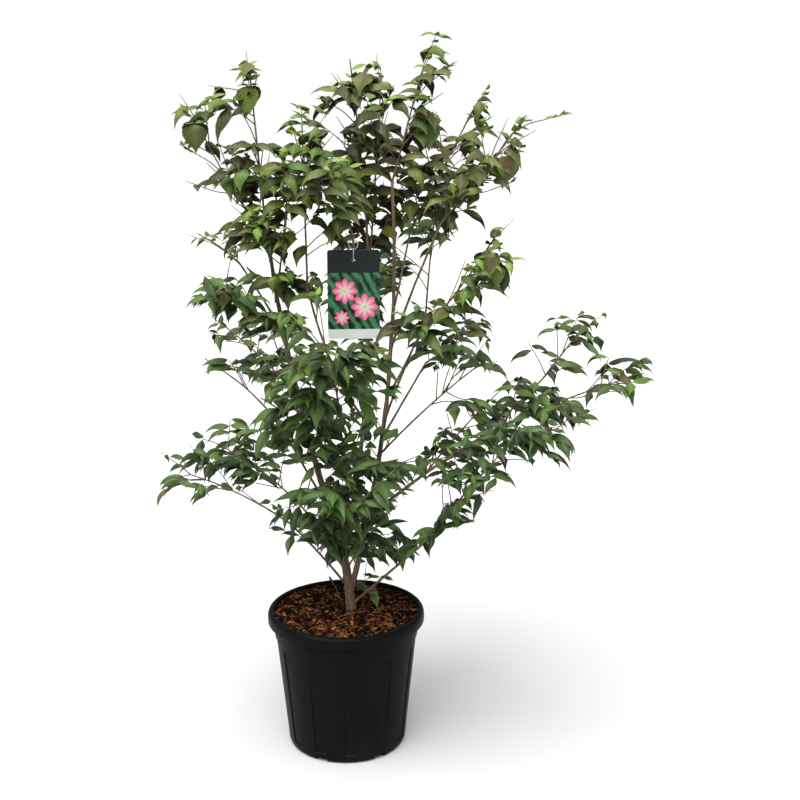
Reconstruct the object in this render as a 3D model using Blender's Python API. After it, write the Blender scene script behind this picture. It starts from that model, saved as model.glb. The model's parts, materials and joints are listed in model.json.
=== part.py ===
"""Kousa dogwood in a black nursery container, as separate solids.

Metres, +Z up. The origin is the middle of the container's flat underside, and -Y is the front.
A pot with its soil carries a short trunk. The trunk carries three stems, these carry boughs,
and every stem and bough ends in masses of foliage. Limbs are given by where they leave their
parent, their heading, length and bend; a mass is grown from its own stem by a seeded rule.
"""

import math
import random
from collections import namedtuple

import bmesh
import bpy
from mathutils import Matrix, Vector
from mathutils.bvhtree import BVHTree

UP = Vector((0.0, 0.0, 1.0))
GAP = 0.0003  # clearance between pieces that touch

# Container of ten litres
POT_HEIGHT = 0.2535
POT_BASE_RADIUS = 0.1044
POT_TAPER = 0.1142  # growth of the radius for each metre of height
POT_WALL = 0.003
POT_FLOOR = 0.012
POT_SIDES = 36
RIM_RADIUS = 0.1405
RIM_HEIGHT = 0.0205
LIP_THICKNESS = 0.0032
PANEL_COUNT = 12
PANEL_WIDTH = 0.0275
PANEL_DEPTH = 0.0014
PANEL_TOP = 0.1955
PANEL_FOOT = 0.016
PANEL_TURN = 6.0
NOTCH_COUNT = 6
NOTCH_WIDTH = 0.024
NOTCH_HEIGHT = 0.009
NOTCH_DEPTH = 0.013
NOTCH_TURN = 36.0

# Soil
SOIL_EDGE = 0.247  # height of the soil where it meets the wall
SOIL_CROWN = 0.250  # height of the level patch round the trunk
SOIL_PATCH_RADIUS = 0.030
TRUNK_SPOT = Vector((0.0096, -0.0008, SOIL_CROWN + GAP))

# Label that hangs from a bough on a ring
CARD_SIZE = Vector((0.086, 0.0008, 0.148))
CARD_HOLE_RADIUS = 0.0036
CARD_HOLE_DROP = 0.016  # from the card's top edge to the middle of its hole
CARD_YAW = 4.0
RING_RADIUS = 0.0075
RING_WIRE = 0.0008
LOOP_WIRE = 0.0007
LOOP_HALF_WIDTH = 0.0036
RING_SHARE = 0.90  # how far along its bough the ring hangs

# Wood
TRUNK_SIDES = 12
STEM_SIDES = 8
BOUGH_SIDES = 6
SPRAY_SIDES = 4
TWIG_SIDES = 3
SPRAY_FOOT_RADIUS = 0.0020
SPRAY_TIP_RADIUS = 0.0015
TWIG_RADIUS = 0.0014
ROOT_FLARE = 1.14
LIMB_STEP = 0.040  # length of one straight piece of a limb
SPRAY_STEP = 0.075  # the same, on the stem of a mass

# Foliage
NODE_SPACING = 0.078  # between two pairs of side shoots or leaves
SIDE_SPLIT = 52.0
STEEP = 42.0  # a shoot steeper than this carries its pairs crosswise
TWIG_SHARE = 0.42  # longest side twig as a share of the mass's own stem
SHORTEST_TWIG = 0.030
LEAF_WIDTH = 0.52  # of its length
LEAF_THICKNESS = 0.018  # of its length
LEAF_FOLD = 0.16  # how far its edges hang, as a share of its width
LEAF_SHOULDER = 0.42  # where it is widest, as a share of its length
LEAF_RIB = 0.26  # where its rib is thickest, as a share of its length
LEAF_SUNK = 0.0002  # how far its root passes the twig's middle
CLEAR = 0.0009  # room kept round each twig and leaf
ROOT_SHARE = 0.16  # share of a leaf, from its root, that may lie against its own mass
FIRST_NODE = 0.15  # share of the stem at its first pair
TIP_SPACING = 0.036  # from the last full pair to the pair at the tip
TIP_LEAF = 0.56  # size of the tip's leaves, of a full leaf
FULL_LEAF = ((0, 26), (50, 78))  # range of its lift over half its shoot's, and of its droop
TIP_LEAF_POSE = ((14, 42), (14, 40))
TRIES = 5

Limb = namedtuple("Limb", "name parent share azimuth lift length bend turn foot tip")
Spray = namedtuple("Spray", "name parent share azimuth lift length bend turn reach leaf tone")

LIMBS = (
    Limb("trunk", None, 0.00, 132, 77, 0.122, -14, 0, 0.0108, 0.0086),
    Limb("stem_left", "trunk", 1.00, 202, 78, 0.62, 12, 0, 0.0074, 0.0030),
    Limb("stem_centre", "trunk", 0.79, 54, 83, 0.60, 24, 0, 0.0054, 0.0027),
    Limb("stem_right", "trunk", 0.23, 359, 84, 0.74, 18, 0, 0.0062, 0.0027),
    Limb("bough_low_left", "trunk", 0.31, 198, 52, 0.17, -6, 0, 0.0027, 0.0020),
    Limb("bough_left_second", "trunk", 0.87, 149, 38, 0.13, 4, 0, 0.0027, 0.0020),
    Limb("bough_left_third", "stem_left", 0.12, 188, 62, 0.18, 6, 0, 0.0026, 0.0020),
    Limb("bough_left_upper", "stem_left", 0.64, 149, 52, 0.15, -8, 0, 0.0024, 0.0020),
    Limb("bough_centre_thin", "stem_centre", 0.42, 239, 57, 0.31, 26, 0, 0.0026, 0.0020),
    Limb("bough_tag", "stem_centre", 0.62, 262, 56, 0.28, -8, 0, 0.0025, 0.0020),
    Limb("bough_right_fork", "stem_right", 0.70, 64, 63, 0.15, 4, 0, 0.0024, 0.0020),
    Limb("bough_right_upper", "stem_right", 0.62, 328, 66, 0.24, -6, 0, 0.0027, 0.0020),
    Limb("bough_right_mid", "stem_right", 0.44, 306, 60, 0.18, -4, 0, 0.0026, 0.0020),
    Limb("bough_right_mid_back", "stem_right", 0.40, 52, 42, 0.17, 0, 0, 0.0026, 0.0020),
    Limb("bough_right_low", "stem_right", 0.20, 0, 36, 0.29, -12, 0, 0.0036, 0.0024),
    Limb("bough_right_low_up", "bough_right_low", 0.86, 32, 34, 0.16, 6, 0, 0.0023, 0.0019),
    Limb("bough_right_low_front", "bough_right_low", 0.55, 316, 29, 0.15, -6, 0, 0.0024, 0.0019),
    Limb("bough_low_right", "trunk", 0.06, 326, 44, 0.25, 0, 0, 0.0030, 0.0022),
    Limb("bough_front", "stem_centre", 0.30, 262, 36, 0.23, -10, 0, 0.0026, 0.0020),
    Limb("bough_back", "stem_centre", 0.48, 94, 20, 0.16, 10, 0, 0.0026, 0.0020),
    Limb("bough_back_left", "stem_left", 0.35, 104, 12, 0.17, 10, 0, 0.0026, 0.0020),
    Limb("bough_back_right", "stem_right", 0.50, 68, 29, 0.21, 10, 0, 0.0026, 0.0020),
)

SPRAYS = (
    Spray("leaves_low_left", "bough_low_left", 1.00, 190, 27, 0.27, -26, 0, 0.105, 0.066, "low"),
    Spray("leaves_left_second", "bough_left_second", 1.00, 160, 29, 0.21, -24, 0, 0.100, 0.064, "low"),
    Spray("leaves_left_third", "bough_left_third", 1.00, 180, 42, 0.17, -20, 0, 0.095, 0.064, "mid"),
    Spray("leaves_left_fourth", "stem_left", 0.46, 135, 25, 0.26, -16, 0, 0.105, 0.064, "mid"),
    Spray("leaves_left_fifth", "stem_left", 0.64, 226, 31, 0.20, -16, 0, 0.100, 0.068, "mid"),
    Spray("leaves_left_upper", "bough_left_upper", 1.00, 166, 33, 0.09, -20, 0, 0.090, 0.064, "top"),
    Spray("leaves_left_top", "stem_left", 1.00, 212, 85, 0.22, 0, 0, 0.095, 0.074, "top"),
    Spray("leaves_left_outer", "stem_left", 0.90, 177, 61, 0.26, 14, 0, 0.100, 0.074, "top"),
    Spray("leaves_left_inner", "stem_left", 0.76, 289, 65, 0.24, 14, 0, 0.090, 0.070, "top"),
    Spray("leaves_centre_top", "stem_centre", 1.00, 245, 78, 0.28, -6, 0, 0.105, 0.076, "top"),
    Spray("leaves_centre_thin", "bough_centre_thin", 1.00, 169, 89, 0.26, 0, 0, 0.090, 0.072, "top"),
    Spray("leaves_centre_front", "bough_tag", 1.00, 222, 51, 0.14, 4, 0, 0.090, 0.072, "top"),
    Spray("leaves_centre_back", "stem_centre", 0.84, 80, 70, 0.37, 6, 0, 0.110, 0.074, "top"),
    Spray("leaves_top_right", "stem_right", 1.00, 18, 74, 0.23, 0, 0, 0.105, 0.074, "top"),
    Spray("leaves_right_fork", "bough_right_fork", 1.00, 27, 59, 0.25, 0, 0, 0.105, 0.074, "top"),
    Spray("leaves_right_upper", "bough_right_upper", 1.00, 348, 52, 0.22, 6, 0, 0.100, 0.074, "top"),
    Spray("leaves_right_mid", "bough_right_mid", 1.00, 329, 52, 0.25, 8, 0, 0.095, 0.074, "top"),
    Spray("leaves_right_mid_back", "bough_right_mid_back", 1.00, 29, 23, 0.16, -8, 0, 0.100, 0.064, "mid"),
    Spray("leaves_right_mid_low", "stem_right", 0.36, 342, 44, 0.27, -10, 0, 0.100, 0.064, "mid"),
    Spray("leaves_right_tip", "bough_right_low", 1.00, 0, 21, 0.26, -8, 0, 0.095, 0.068, "mid"),
    Spray("leaves_right_low_up", "bough_right_low_up", 1.00, 14, 51, 0.12, 0, 0, 0.100, 0.064, "mid"),
    Spray("leaves_right_low_front", "bough_right_low_front", 1.00, 321, 16, 0.13, -16, 0, 0.100, 0.064, "low"),
    Spray("leaves_right_low_back", "bough_right_low", 0.45, 46, 30, 0.22, -10, 0, 0.100, 0.062, "low"),
    Spray("leaves_low_right", "bough_low_right", 1.00, 323, 52, 0.19, -10, 0, 0.105, 0.064, "low"),
    Spray("leaves_low_front", "trunk", 0.68, 279, 38, 0.35, -20, 0, 0.110, 0.066, "low"),
    Spray("leaves_low_back", "trunk", 0.60, 70, 8, 0.27, -20, 0, 0.110, 0.064, "low"),
    Spray("leaves_low_front_left", "stem_left", 0.10, 261, 27, 0.27, -20, 0, 0.105, 0.066, "low"),
    Spray("leaves_front", "bough_front", 1.00, 266, 38, 0.23, -20, 0, 0.110, 0.076, "mid"),
    Spray("leaves_back", "bough_back", 1.00, 82, 53, 0.21, -10, 0, 0.110, 0.068, "mid"),
    Spray("leaves_back_left", "bough_back_left", 1.00, 115, 39, 0.23, -16, 0, 0.110, 0.066, "mid"),
    Spray("leaves_back_right", "bough_back_right", 1.00, 81, 56, 0.25, -10, 0, 0.110, 0.068, "mid"),
    Spray("leaves_front_left", "stem_left", 0.32, 253, 32, 0.25, -16, 0, 0.105, 0.068, "mid"),
    Spray("leaves_front_right", "stem_right", 0.30, 285, 25, 0.25, -16, 0, 0.105, 0.066, "low"),
)

# name: (red, green, blue) as seen on screen, roughness
FINISHES = {
    "pot_plastic": ((0.120, 0.124, 0.128), 0.46),
    "soil_bark": ((0.200, 0.140, 0.095), 0.95),
    "trunk_bark": ((0.440, 0.385, 0.310), 0.85),
    "bough_bark": ((0.400, 0.300, 0.215), 0.80),
    "leaf_low": ((0.200, 0.300, 0.130), 0.50),
    "leaf_mid": ((0.250, 0.350, 0.150), 0.50),
    "leaf_top": ((0.340, 0.385, 0.210), 0.50),
    "label_card": ((0.130, 0.230, 0.160), 0.35),
    "label_tie": ((0.900, 0.900, 0.880), 0.45),
}


def linear(shade):
    """A screen shade of 0 to 1 as the linear value that a shader takes."""
    return shade / 12.92 if shade <= 0.04045 else ((shade + 0.055) / 1.055) ** 2.4


def finish(name):
    """The named Principled material, made once."""
    made = bpy.data.materials.get(name)
    if made:
        return made
    colour, roughness = FINISHES[name]
    made = bpy.data.materials.new(name)
    made.use_nodes = True
    shader = made.node_tree.nodes["Principled BSDF"]
    shader.inputs["Base Color"].default_value = (*(linear(shade) for shade in colour), 1.0)
    shader.inputs["Roughness"].default_value = roughness
    shader.inputs["Metallic"].default_value = 0.0
    return made


def add_object(name, bm, finish_name, collection=None):
    """The bmesh as an object, its faces turned outward."""
    bmesh.ops.recalc_face_normals(bm, faces=bm.faces)
    mesh = bpy.data.meshes.new(name)
    bm.to_mesh(mesh)
    bm.free()
    mesh.materials.append(finish(finish_name))
    made = bpy.data.objects.new(name, mesh)
    (collection or bpy.context.scene.collection).objects.link(made)
    return made


def round_off(made, angle=40.0):
    """Smooth shading, with the edges sharper than this angle kept."""
    made.data.shade_smooth()
    made.data.set_sharp_from_angle(angle=math.radians(angle))


def boolean(made, operation, cutter, solver="EXACT"):
    """Joins or cuts with one object or a collection, and applies it."""
    modifier = made.modifiers.new("boolean", "BOOLEAN")
    modifier.operation = operation
    modifier.solver = solver
    if isinstance(cutter, bpy.types.Collection):
        modifier.operand_type = "COLLECTION"
        modifier.collection = cutter
    else:
        modifier.object = cutter
    bpy.context.view_layer.update()
    with bpy.context.temp_override(object=made, active_object=made):
        bpy.ops.object.modifier_apply(modifier=modifier.name)


def heading(azimuth, lift):
    azimuth, lift = math.radians(azimuth), math.radians(lift)
    return Vector((math.cos(lift) * math.cos(azimuth), math.cos(lift) * math.sin(azimuth), math.sin(lift)))


def sweep(start, limb, piece=LIMB_STEP):
    """Points along a limb whose heading goes evenly from one end of its bend to the other."""
    steps = max(2, round(limb.length / piece))
    points = [start.copy()]
    for step in range(steps):
        part = (step + 0.5) / steps - 0.5
        way = heading(limb.azimuth + limb.turn * part, limb.lift + limb.bend * part)
        points.append(points[-1] + way * (limb.length / steps))
    return points


def rooted(limb, paths, piece):
    """A limb's path from its parent, and the heading that its first ring faces, or None inside a parent.

    At a parent's tip it goes on from a clear face; elsewhere it starts on the parent's middle line,
    where a cut clears it later. The trunk starts square to the soil.
    """
    if limb.parent is None:
        points = sweep(TRUNK_SPOT, limb, piece)
        return points, UP
    start, way = along(paths[limb.parent], limb.share)
    if limb.share < 1.0:
        return sweep(start, limb, piece), None
    points = sweep(start + way * GAP, limb, piece)
    run = points[1] - points[0]
    points[1] = points[0] + (way + run.normalized()).normalized() * run.length
    return points, way


def along(points, share):
    """The place and the heading at a share of a path's length."""
    place = min(max(share, 0.0), 1.0) * (len(points) - 1)
    piece = min(int(place), len(points) - 2)
    run = points[piece + 1] - points[piece]
    return points[piece] + run * (place - piece), run.normalized()


def across(way):
    """Two directions square to a heading: one level, one rising."""
    level = way.cross(UP)
    if level.length < 0.05:
        level = way.cross(Vector((0.0, 1.0, 0.0)))
    level.normalize()
    return level, level.cross(way).normalized()


def tube_mesh(points, radii, sides, swell=0.0, first_way=None):
    """Vertices and faces of a closed tube, its rings square to the path, or the first to its parent."""
    swell = swell / math.cos(math.pi / sides)
    verts, faces = [], []
    level = None
    for index, point in enumerate(points):
        before = points[max(index - 1, 0)]
        after = points[min(index + 1, len(points) - 1)]
        way = first_way if first_way and not index else (after - before).normalized()
        level = across(way)[0] if level is None else (level - way * level.dot(way)).normalized()
        rise = level.cross(way)
        for side in range(sides):
            angle = math.tau * (side + 0.5) / sides
            reach = radii[index] + swell
            verts.append(point + (level * math.cos(angle) + rise * math.sin(angle)) * reach)
    for ring in range(len(points) - 1):
        for side in range(sides):
            beside = (side + 1) % sides
            first, second = ring * sides, (ring + 1) * sides
            faces.append((first + side, first + beside, second + beside, second + side))
    faces.append(tuple(range(sides - 1, -1, -1)))
    faces.append(tuple(range((len(points) - 1) * sides, len(points) * sides)))
    return verts, faces


def from_lists(verts, faces):
    bm = bmesh.new()
    made = [bm.verts.new(vert) for vert in verts]
    for face in faces:
        bm.faces.new([made[index] for index in face])
    return bm


def keep_largest(made):
    """Drops loose scraps and sealed hollows: only the shell of greatest volume stays."""
    bm = bmesh.new()
    bm.from_mesh(made.data)
    shells, seen = [], set()
    for seed in bm.faces:
        if seed in seen:
            continue
        shell, open_faces = [], [seed]
        seen.add(seed)
        while open_faces:
            face = open_faces.pop()
            shell.append(face)
            for edge in face.edges:
                for other in edge.link_faces:
                    if other not in seen:
                        seen.add(other)
                        open_faces.append(other)
        shells.append(shell)
    if len(shells) > 1:
        def volume(shell):
            return sum(
                face.calc_center_median().dot(face.normal) * face.calc_area() for face in shell
            )

        shells.sort(key=volume)
        loose = [face for shell in shells[:-1] for face in shell]
        bmesh.ops.delete(bm, geom=loose, context="FACES")
        bmesh.ops.delete(bm, geom=[v for v in bm.verts if not v.link_faces], context="VERTS")
        bm.to_mesh(made.data)
    bm.free()
    return len(shells)


def pot_radius(height):
    return POT_BASE_RADIUS + POT_TAPER * height


def from_front(angle, radius, height=0.0):
    """A point at this angle from the front, counted towards +X."""
    angle = math.radians(angle)
    return Vector((radius * math.sin(angle), -radius * math.cos(angle), height))


def turned(name, profile, sides, finish_name):
    """A solid turned round Z from a profile of (radius, height) that starts and ends on the axis."""
    bm = bmesh.new()
    verts = [bm.verts.new((radius, 0.0, height)) for radius, height in profile]
    edges = [bm.edges.new(pair) for pair in zip(verts, verts[1:])]
    bmesh.ops.spin(
        bm, geom=verts + edges, axis=UP, cent=(0, 0, 0), steps=sides, angle=math.tau, use_merge=True
    )
    bmesh.ops.remove_doubles(bm, verts=bm.verts, dist=1e-6)
    return add_object(name, bm, finish_name)


def pot_cutters(collection):
    """Shallow panels down the wall, and the drain notches of the foot."""
    half = math.degrees(PANEL_WIDTH / 2 / pot_radius(PANEL_TOP))
    for index in range(PANEL_COUNT):
        middle = PANEL_TURN + index * 360.0 / PANEL_COUNT
        verts, faces = [], []
        spokes = [middle - half, middle, middle + half]
        for height in (PANEL_FOOT, PANEL_TOP):
            for depth in (-PANEL_DEPTH, PANEL_DEPTH * 4):
                verts += [from_front(spoke, pot_radius(height) + depth, height) for spoke in spokes]
        last = len(spokes) - 1
        for step in range(last):
            faces.append((step, step + 1, step + 7, step + 6))
            faces.append((step + 3, step + 9, step + 10, step + 4))
            faces.append((step, step + 3, step + 4, step + 1))
            faces.append((step + 6, step + 7, step + 10, step + 9))
        faces.append((0, 6, 9, 3))
        faces.append((last, last + 3, last + 9, last + 6))
        add_object(f"panel_cutter_{index}", from_lists(verts, faces), "pot_plastic", collection)
    for index in range(NOTCH_COUNT):
        bm = bmesh.new()
        bmesh.ops.create_cube(bm, size=1.0)
        bmesh.ops.scale(bm, vec=(NOTCH_WIDTH, NOTCH_DEPTH * 2, NOTCH_HEIGHT * 2), verts=bm.verts)
        bmesh.ops.translate(bm, vec=(0.0, -POT_BASE_RADIUS, 0.0), verts=bm.verts)
        turn = Matrix.Rotation(math.radians(NOTCH_TURN + index * 360.0 / NOTCH_COUNT), 3, "Z")
        bmesh.ops.rotate(bm, cent=(0, 0, 0), matrix=turn, verts=bm.verts)
        add_object(f"notch_cutter_{index}", bm, "pot_plastic", collection)


def build_pot():
    """The container: solid floor, tapering wall and a rim turned over and down."""
    top = POT_HEIGHT
    lip_foot = top - RIM_HEIGHT
    shoulder = pot_radius(lip_foot)
    profile = (
        (0.0, 0.0),
        (POT_BASE_RADIUS - 0.0088, 0.0),
        (POT_BASE_RADIUS - 0.0036, 0.0014),
        (POT_BASE_RADIUS - 0.0001, 0.0052),
        (pot_radius(0.013), 0.013),
        (shoulder, lip_foot),
        (shoulder + 0.0008, top - 0.0070),
        (RIM_RADIUS - LIP_THICKNESS - 0.0016, top - 0.0050),
        (RIM_RADIUS - LIP_THICKNESS, top - 0.0090),
        (RIM_RADIUS - LIP_THICKNESS, lip_foot + 0.0010),
        (RIM_RADIUS - 0.0010, lip_foot),
        (RIM_RADIUS, lip_foot + 0.0030),
        (RIM_RADIUS, top - 0.0090),
        (RIM_RADIUS - 0.0018, top - 0.0030),
        (RIM_RADIUS - 0.0062, top),
        (RIM_RADIUS - 0.0096, top - 0.0003),
        (RIM_RADIUS - 0.0118, top - 0.0035),
        (pot_radius(SOIL_EDGE) - POT_WALL, SOIL_EDGE),
        (pot_radius(POT_FLOOR) - POT_WALL, POT_FLOOR + 0.003),
        (pot_radius(POT_FLOOR) - POT_WALL - 0.003, POT_FLOOR),
        (0.0, POT_FLOOR),
    )
    pot = turned("pot", profile, POT_SIDES, "pot_plastic")
    cutters = bpy.data.collections.new("pot_cutters")
    bpy.context.scene.collection.children.link(cutters)
    pot_cutters(cutters)
    boolean(pot, "DIFFERENCE", cutters)
    remove_collection(cutters)
    round_off(pot, 30.0)
    return pot


def remove_collection(collection):
    for made in list(collection.objects):
        mesh = made.data
        bpy.data.objects.remove(made)
        bpy.data.meshes.remove(mesh)
    bpy.data.collections.remove(collection)


def build_soil():
    """The soil fills the pot, low at the wall, with a level patch under the trunk."""
    floor = POT_FLOOR + GAP
    room = POT_WALL + GAP * 1.6
    profile = (
        (0.0, floor),
        (pot_radius(POT_FLOOR) - room - 0.0036, floor),
        (pot_radius(POT_FLOOR) - room, floor + 0.0036),
        (pot_radius(SOIL_EDGE - 0.001) - room, SOIL_EDGE - 0.001),
        (pot_radius(SOIL_EDGE) - room - 0.004, SOIL_EDGE + 0.0008),
        (0.090, SOIL_EDGE + 0.0018),
        (SOIL_PATCH_RADIUS + TRUNK_SPOT.xy.length, SOIL_CROWN),
        (0.0, SOIL_CROWN),
    )
    soil = turned("soil", profile, POT_SIDES, "soil_bark")
    round_off(soil)
    return soil


class Obstacles:
    """Solids that a twig or a leaf keeps clear of."""

    def __init__(self):
        self.shells = []

    def add(self, verts, faces):
        self.shells.append((*box(verts), BVHTree.FromPolygons(verts, faces)))

    def touched_by(self, verts, faces):
        low, high = box(verts)
        tree = None
        for other_low, other_high, other in self.shells:
            if any(low[k] > other_high[k] or high[k] < other_low[k] for k in range(3)):
                continue
            tree = tree or BVHTree.FromPolygons(verts, faces)
            if tree.overlap(other):
                return True
        return False


def box(verts):
    return (
        [min(vert[k] for vert in verts) for k in range(3)],
        [max(vert[k] for vert in verts) for k in range(3)],
    )


def radii_of(points, foot, tip):
    last = len(points) - 1
    return [foot + (tip - foot) * index / last for index in range(last + 1)]


def limb_sides(name):
    if name == "trunk":
        return TRUNK_SIDES
    return STEM_SIDES if name.startswith("stem") else BOUGH_SIDES


def build_limbs():
    """Trunk, stems and boughs. Each is cut clear of every earlier limb that it passes into."""
    paths, swollen = {}, {}
    for limb in LIMBS:
        points, way = rooted(limb, paths, LIMB_STEP)
        paths[limb.name] = points
        radii = radii_of(points, limb.foot, limb.tip)
        if limb.parent is None:
            radii[0] *= ROOT_FLARE
        sides = limb_sides(limb.name)
        verts, faces = tube_mesh(points, radii, sides, first_way=way)
        bark = "bough_bark" if limb.name.startswith("bough") else "trunk_bark"
        made = add_object(limb.name, from_lists(verts, faces), bark)
        wide, wide_faces = tube_mesh(points, radii, sides, GAP * 1.1, way)
        mine = BVHTree.FromPolygons(verts, faces)
        for name, (cutter, tree) in swollen.items():
            if way and name == limb.parent:
                continue
            if mine.overlap(tree):
                boolean(made, "DIFFERENCE", cutter)
                keep_largest(made)
        round_off(made)
        cutter = add_object(f"{limb.name}_cutter", from_lists(wide, wide_faces), bark)
        cutter.hide_render = True
        cutter.display_type = "WIRE"
        swollen[limb.name] = (cutter, BVHTree.FromPolygons(wide, wide_faces))
    return paths, {name: cutter for name, (cutter, _) in swollen.items()}


def ring_mesh(centre, axis, radius, wire, steps=12, sides=6, stretch=1.0):
    """A closed ring round an axis; stretch lengthens it downwards."""
    axis = axis.normalized()
    level, rise = across(axis)
    verts, faces = [], []
    for step in range(steps):
        angle = math.tau * step / steps
        out = level * math.cos(angle) + rise * math.sin(angle) * stretch
        middle = centre + out * radius
        spoke = (level * math.cos(angle) + rise * math.sin(angle)).normalized()
        for side in range(sides):
            turn = math.tau * side / sides
            verts.append(middle + (spoke * math.cos(turn) + axis * math.sin(turn)) * wire)
    for step in range(steps):
        for side in range(sides):
            first, second = step * sides, (step + 1) % steps * sides
            beside = (side + 1) % sides
            faces.append((first + side, first + beside, second + beside, second + side))
    return verts, faces


def build_label(paths):
    """A printed card under a bough, held by a ring round the bough and a loop through its hole."""
    bough = next(limb for limb in LIMBS if limb.name == "bough_tag")
    hold, way = along(paths["bough_tag"], RING_SHARE)
    radius_there = bough.foot + (bough.tip - bough.foot) * RING_SHARE
    rest = radius_there + GAP * 2 + RING_WIRE
    ring_axis = Vector((way.x, way.y, 0.0)).normalized()
    ring_middle = hold - UP * (RING_RADIUS - rest / max(0.3, math.cos(math.asin(way.z))))
    loop_height = (CARD_HOLE_DROP + CARD_HOLE_RADIUS) / 2
    loop_middle = ring_middle - UP * (RING_RADIUS + loop_height - RING_WIRE)
    turn = Matrix.Rotation(math.radians(CARD_YAW), 3, "Z")
    loop_axis = turn @ Vector((1.0, 0.0, 0.0))

    card_top = loop_middle.z - loop_height + CARD_HOLE_DROP + CARD_HOLE_RADIUS * 0.35
    bm = bmesh.new()
    bmesh.ops.create_cube(bm, size=1.0)
    bmesh.ops.scale(bm, vec=CARD_SIZE, verts=bm.verts)
    upright = [edge for edge in bm.edges if abs(edge.verts[0].co.y - edge.verts[1].co.y) > 1e-5]
    bmesh.ops.bevel(
        bm, geom=upright, affect="EDGES", offset=0.004, segments=3, profile=0.5, material=-1
    )
    bmesh.ops.translate(bm, vec=(0.0, 0.0, -CARD_SIZE.z / 2), verts=bm.verts)
    card = add_object("tag_card", bm, "label_card")
    bm = bmesh.new()
    bmesh.ops.create_cone(
        bm, cap_ends=True, segments=16, radius1=CARD_HOLE_RADIUS, radius2=CARD_HOLE_RADIUS, depth=0.01
    )
    bmesh.ops.rotate(bm, cent=(0, 0, 0), matrix=Matrix.Rotation(math.pi / 2, 3, "X"), verts=bm.verts)
    bmesh.ops.translate(bm, vec=(0.0, 0.0, -CARD_HOLE_DROP), verts=bm.verts)
    punch = add_object("card_punch", bm, "label_card")
    boolean(card, "DIFFERENCE", punch)
    remove_object(punch)
    card.rotation_euler.z = math.radians(CARD_YAW)
    card.location = (loop_middle.x, loop_middle.y, card_top)

    tie = add_object(
        "tag_tie", from_lists(*ring_mesh(ring_middle, ring_axis, RING_RADIUS, RING_WIRE)), "label_tie"
    )
    slender = loop_height / LOOP_HALF_WIDTH
    loop_parts = ring_mesh(loop_middle, loop_axis, LOOP_HALF_WIDTH, LOOP_WIRE, stretch=slender)
    loop = add_object("tie_loop", from_lists(*loop_parts), "label_tie")
    boolean(tie, "UNION", loop)
    remove_object(loop)
    round_off(tie, 60.0)
    return card, tie


def remove_object(made):
    mesh = made.data
    bpy.data.objects.remove(made)
    bpy.data.meshes.remove(mesh)


def leaf_mesh(root, way, length, droop, room=0.0):
    """A blade of eight faces, widest at its shoulder, folded along the rib and drooping to its tip."""
    side = way.cross(UP)
    if side.length < 0.05:
        side = Vector((1.0, 0.0, 0.0))
    side.normalize()
    normal = side.cross(way).normalized()
    tip_way = Matrix.Rotation(-math.radians(droop), 3, side) @ way
    rib = root + way * (length * LEAF_RIB)
    shoulder = rib + tip_way * (length * (LEAF_SHOULDER - LEAF_RIB))
    tip = rib + tip_way * (length * (1.0 - LEAF_RIB) + room)
    half_width = length * LEAF_WIDTH / 2 + room
    half_depth = length * LEAF_THICKNESS / 2 + room
    edge_drop = normal * (half_width * 2 * LEAF_FOLD)
    verts = [
        root,
        shoulder + side * half_width - edge_drop,
        shoulder - side * half_width - edge_drop,
        rib + normal * half_depth,
        rib - normal * half_depth,
        tip,
    ]
    faces = [(0, 1, 3), (0, 3, 2), (5, 3, 1), (5, 2, 3), (0, 4, 1), (0, 2, 4), (5, 1, 4), (5, 4, 2)]
    return verts, faces


def twig_mesh(points, foot, tip, room=0.0):
    return tube_mesh(points, radii_of(points, foot, tip), TWIG_SIDES, room)


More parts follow.
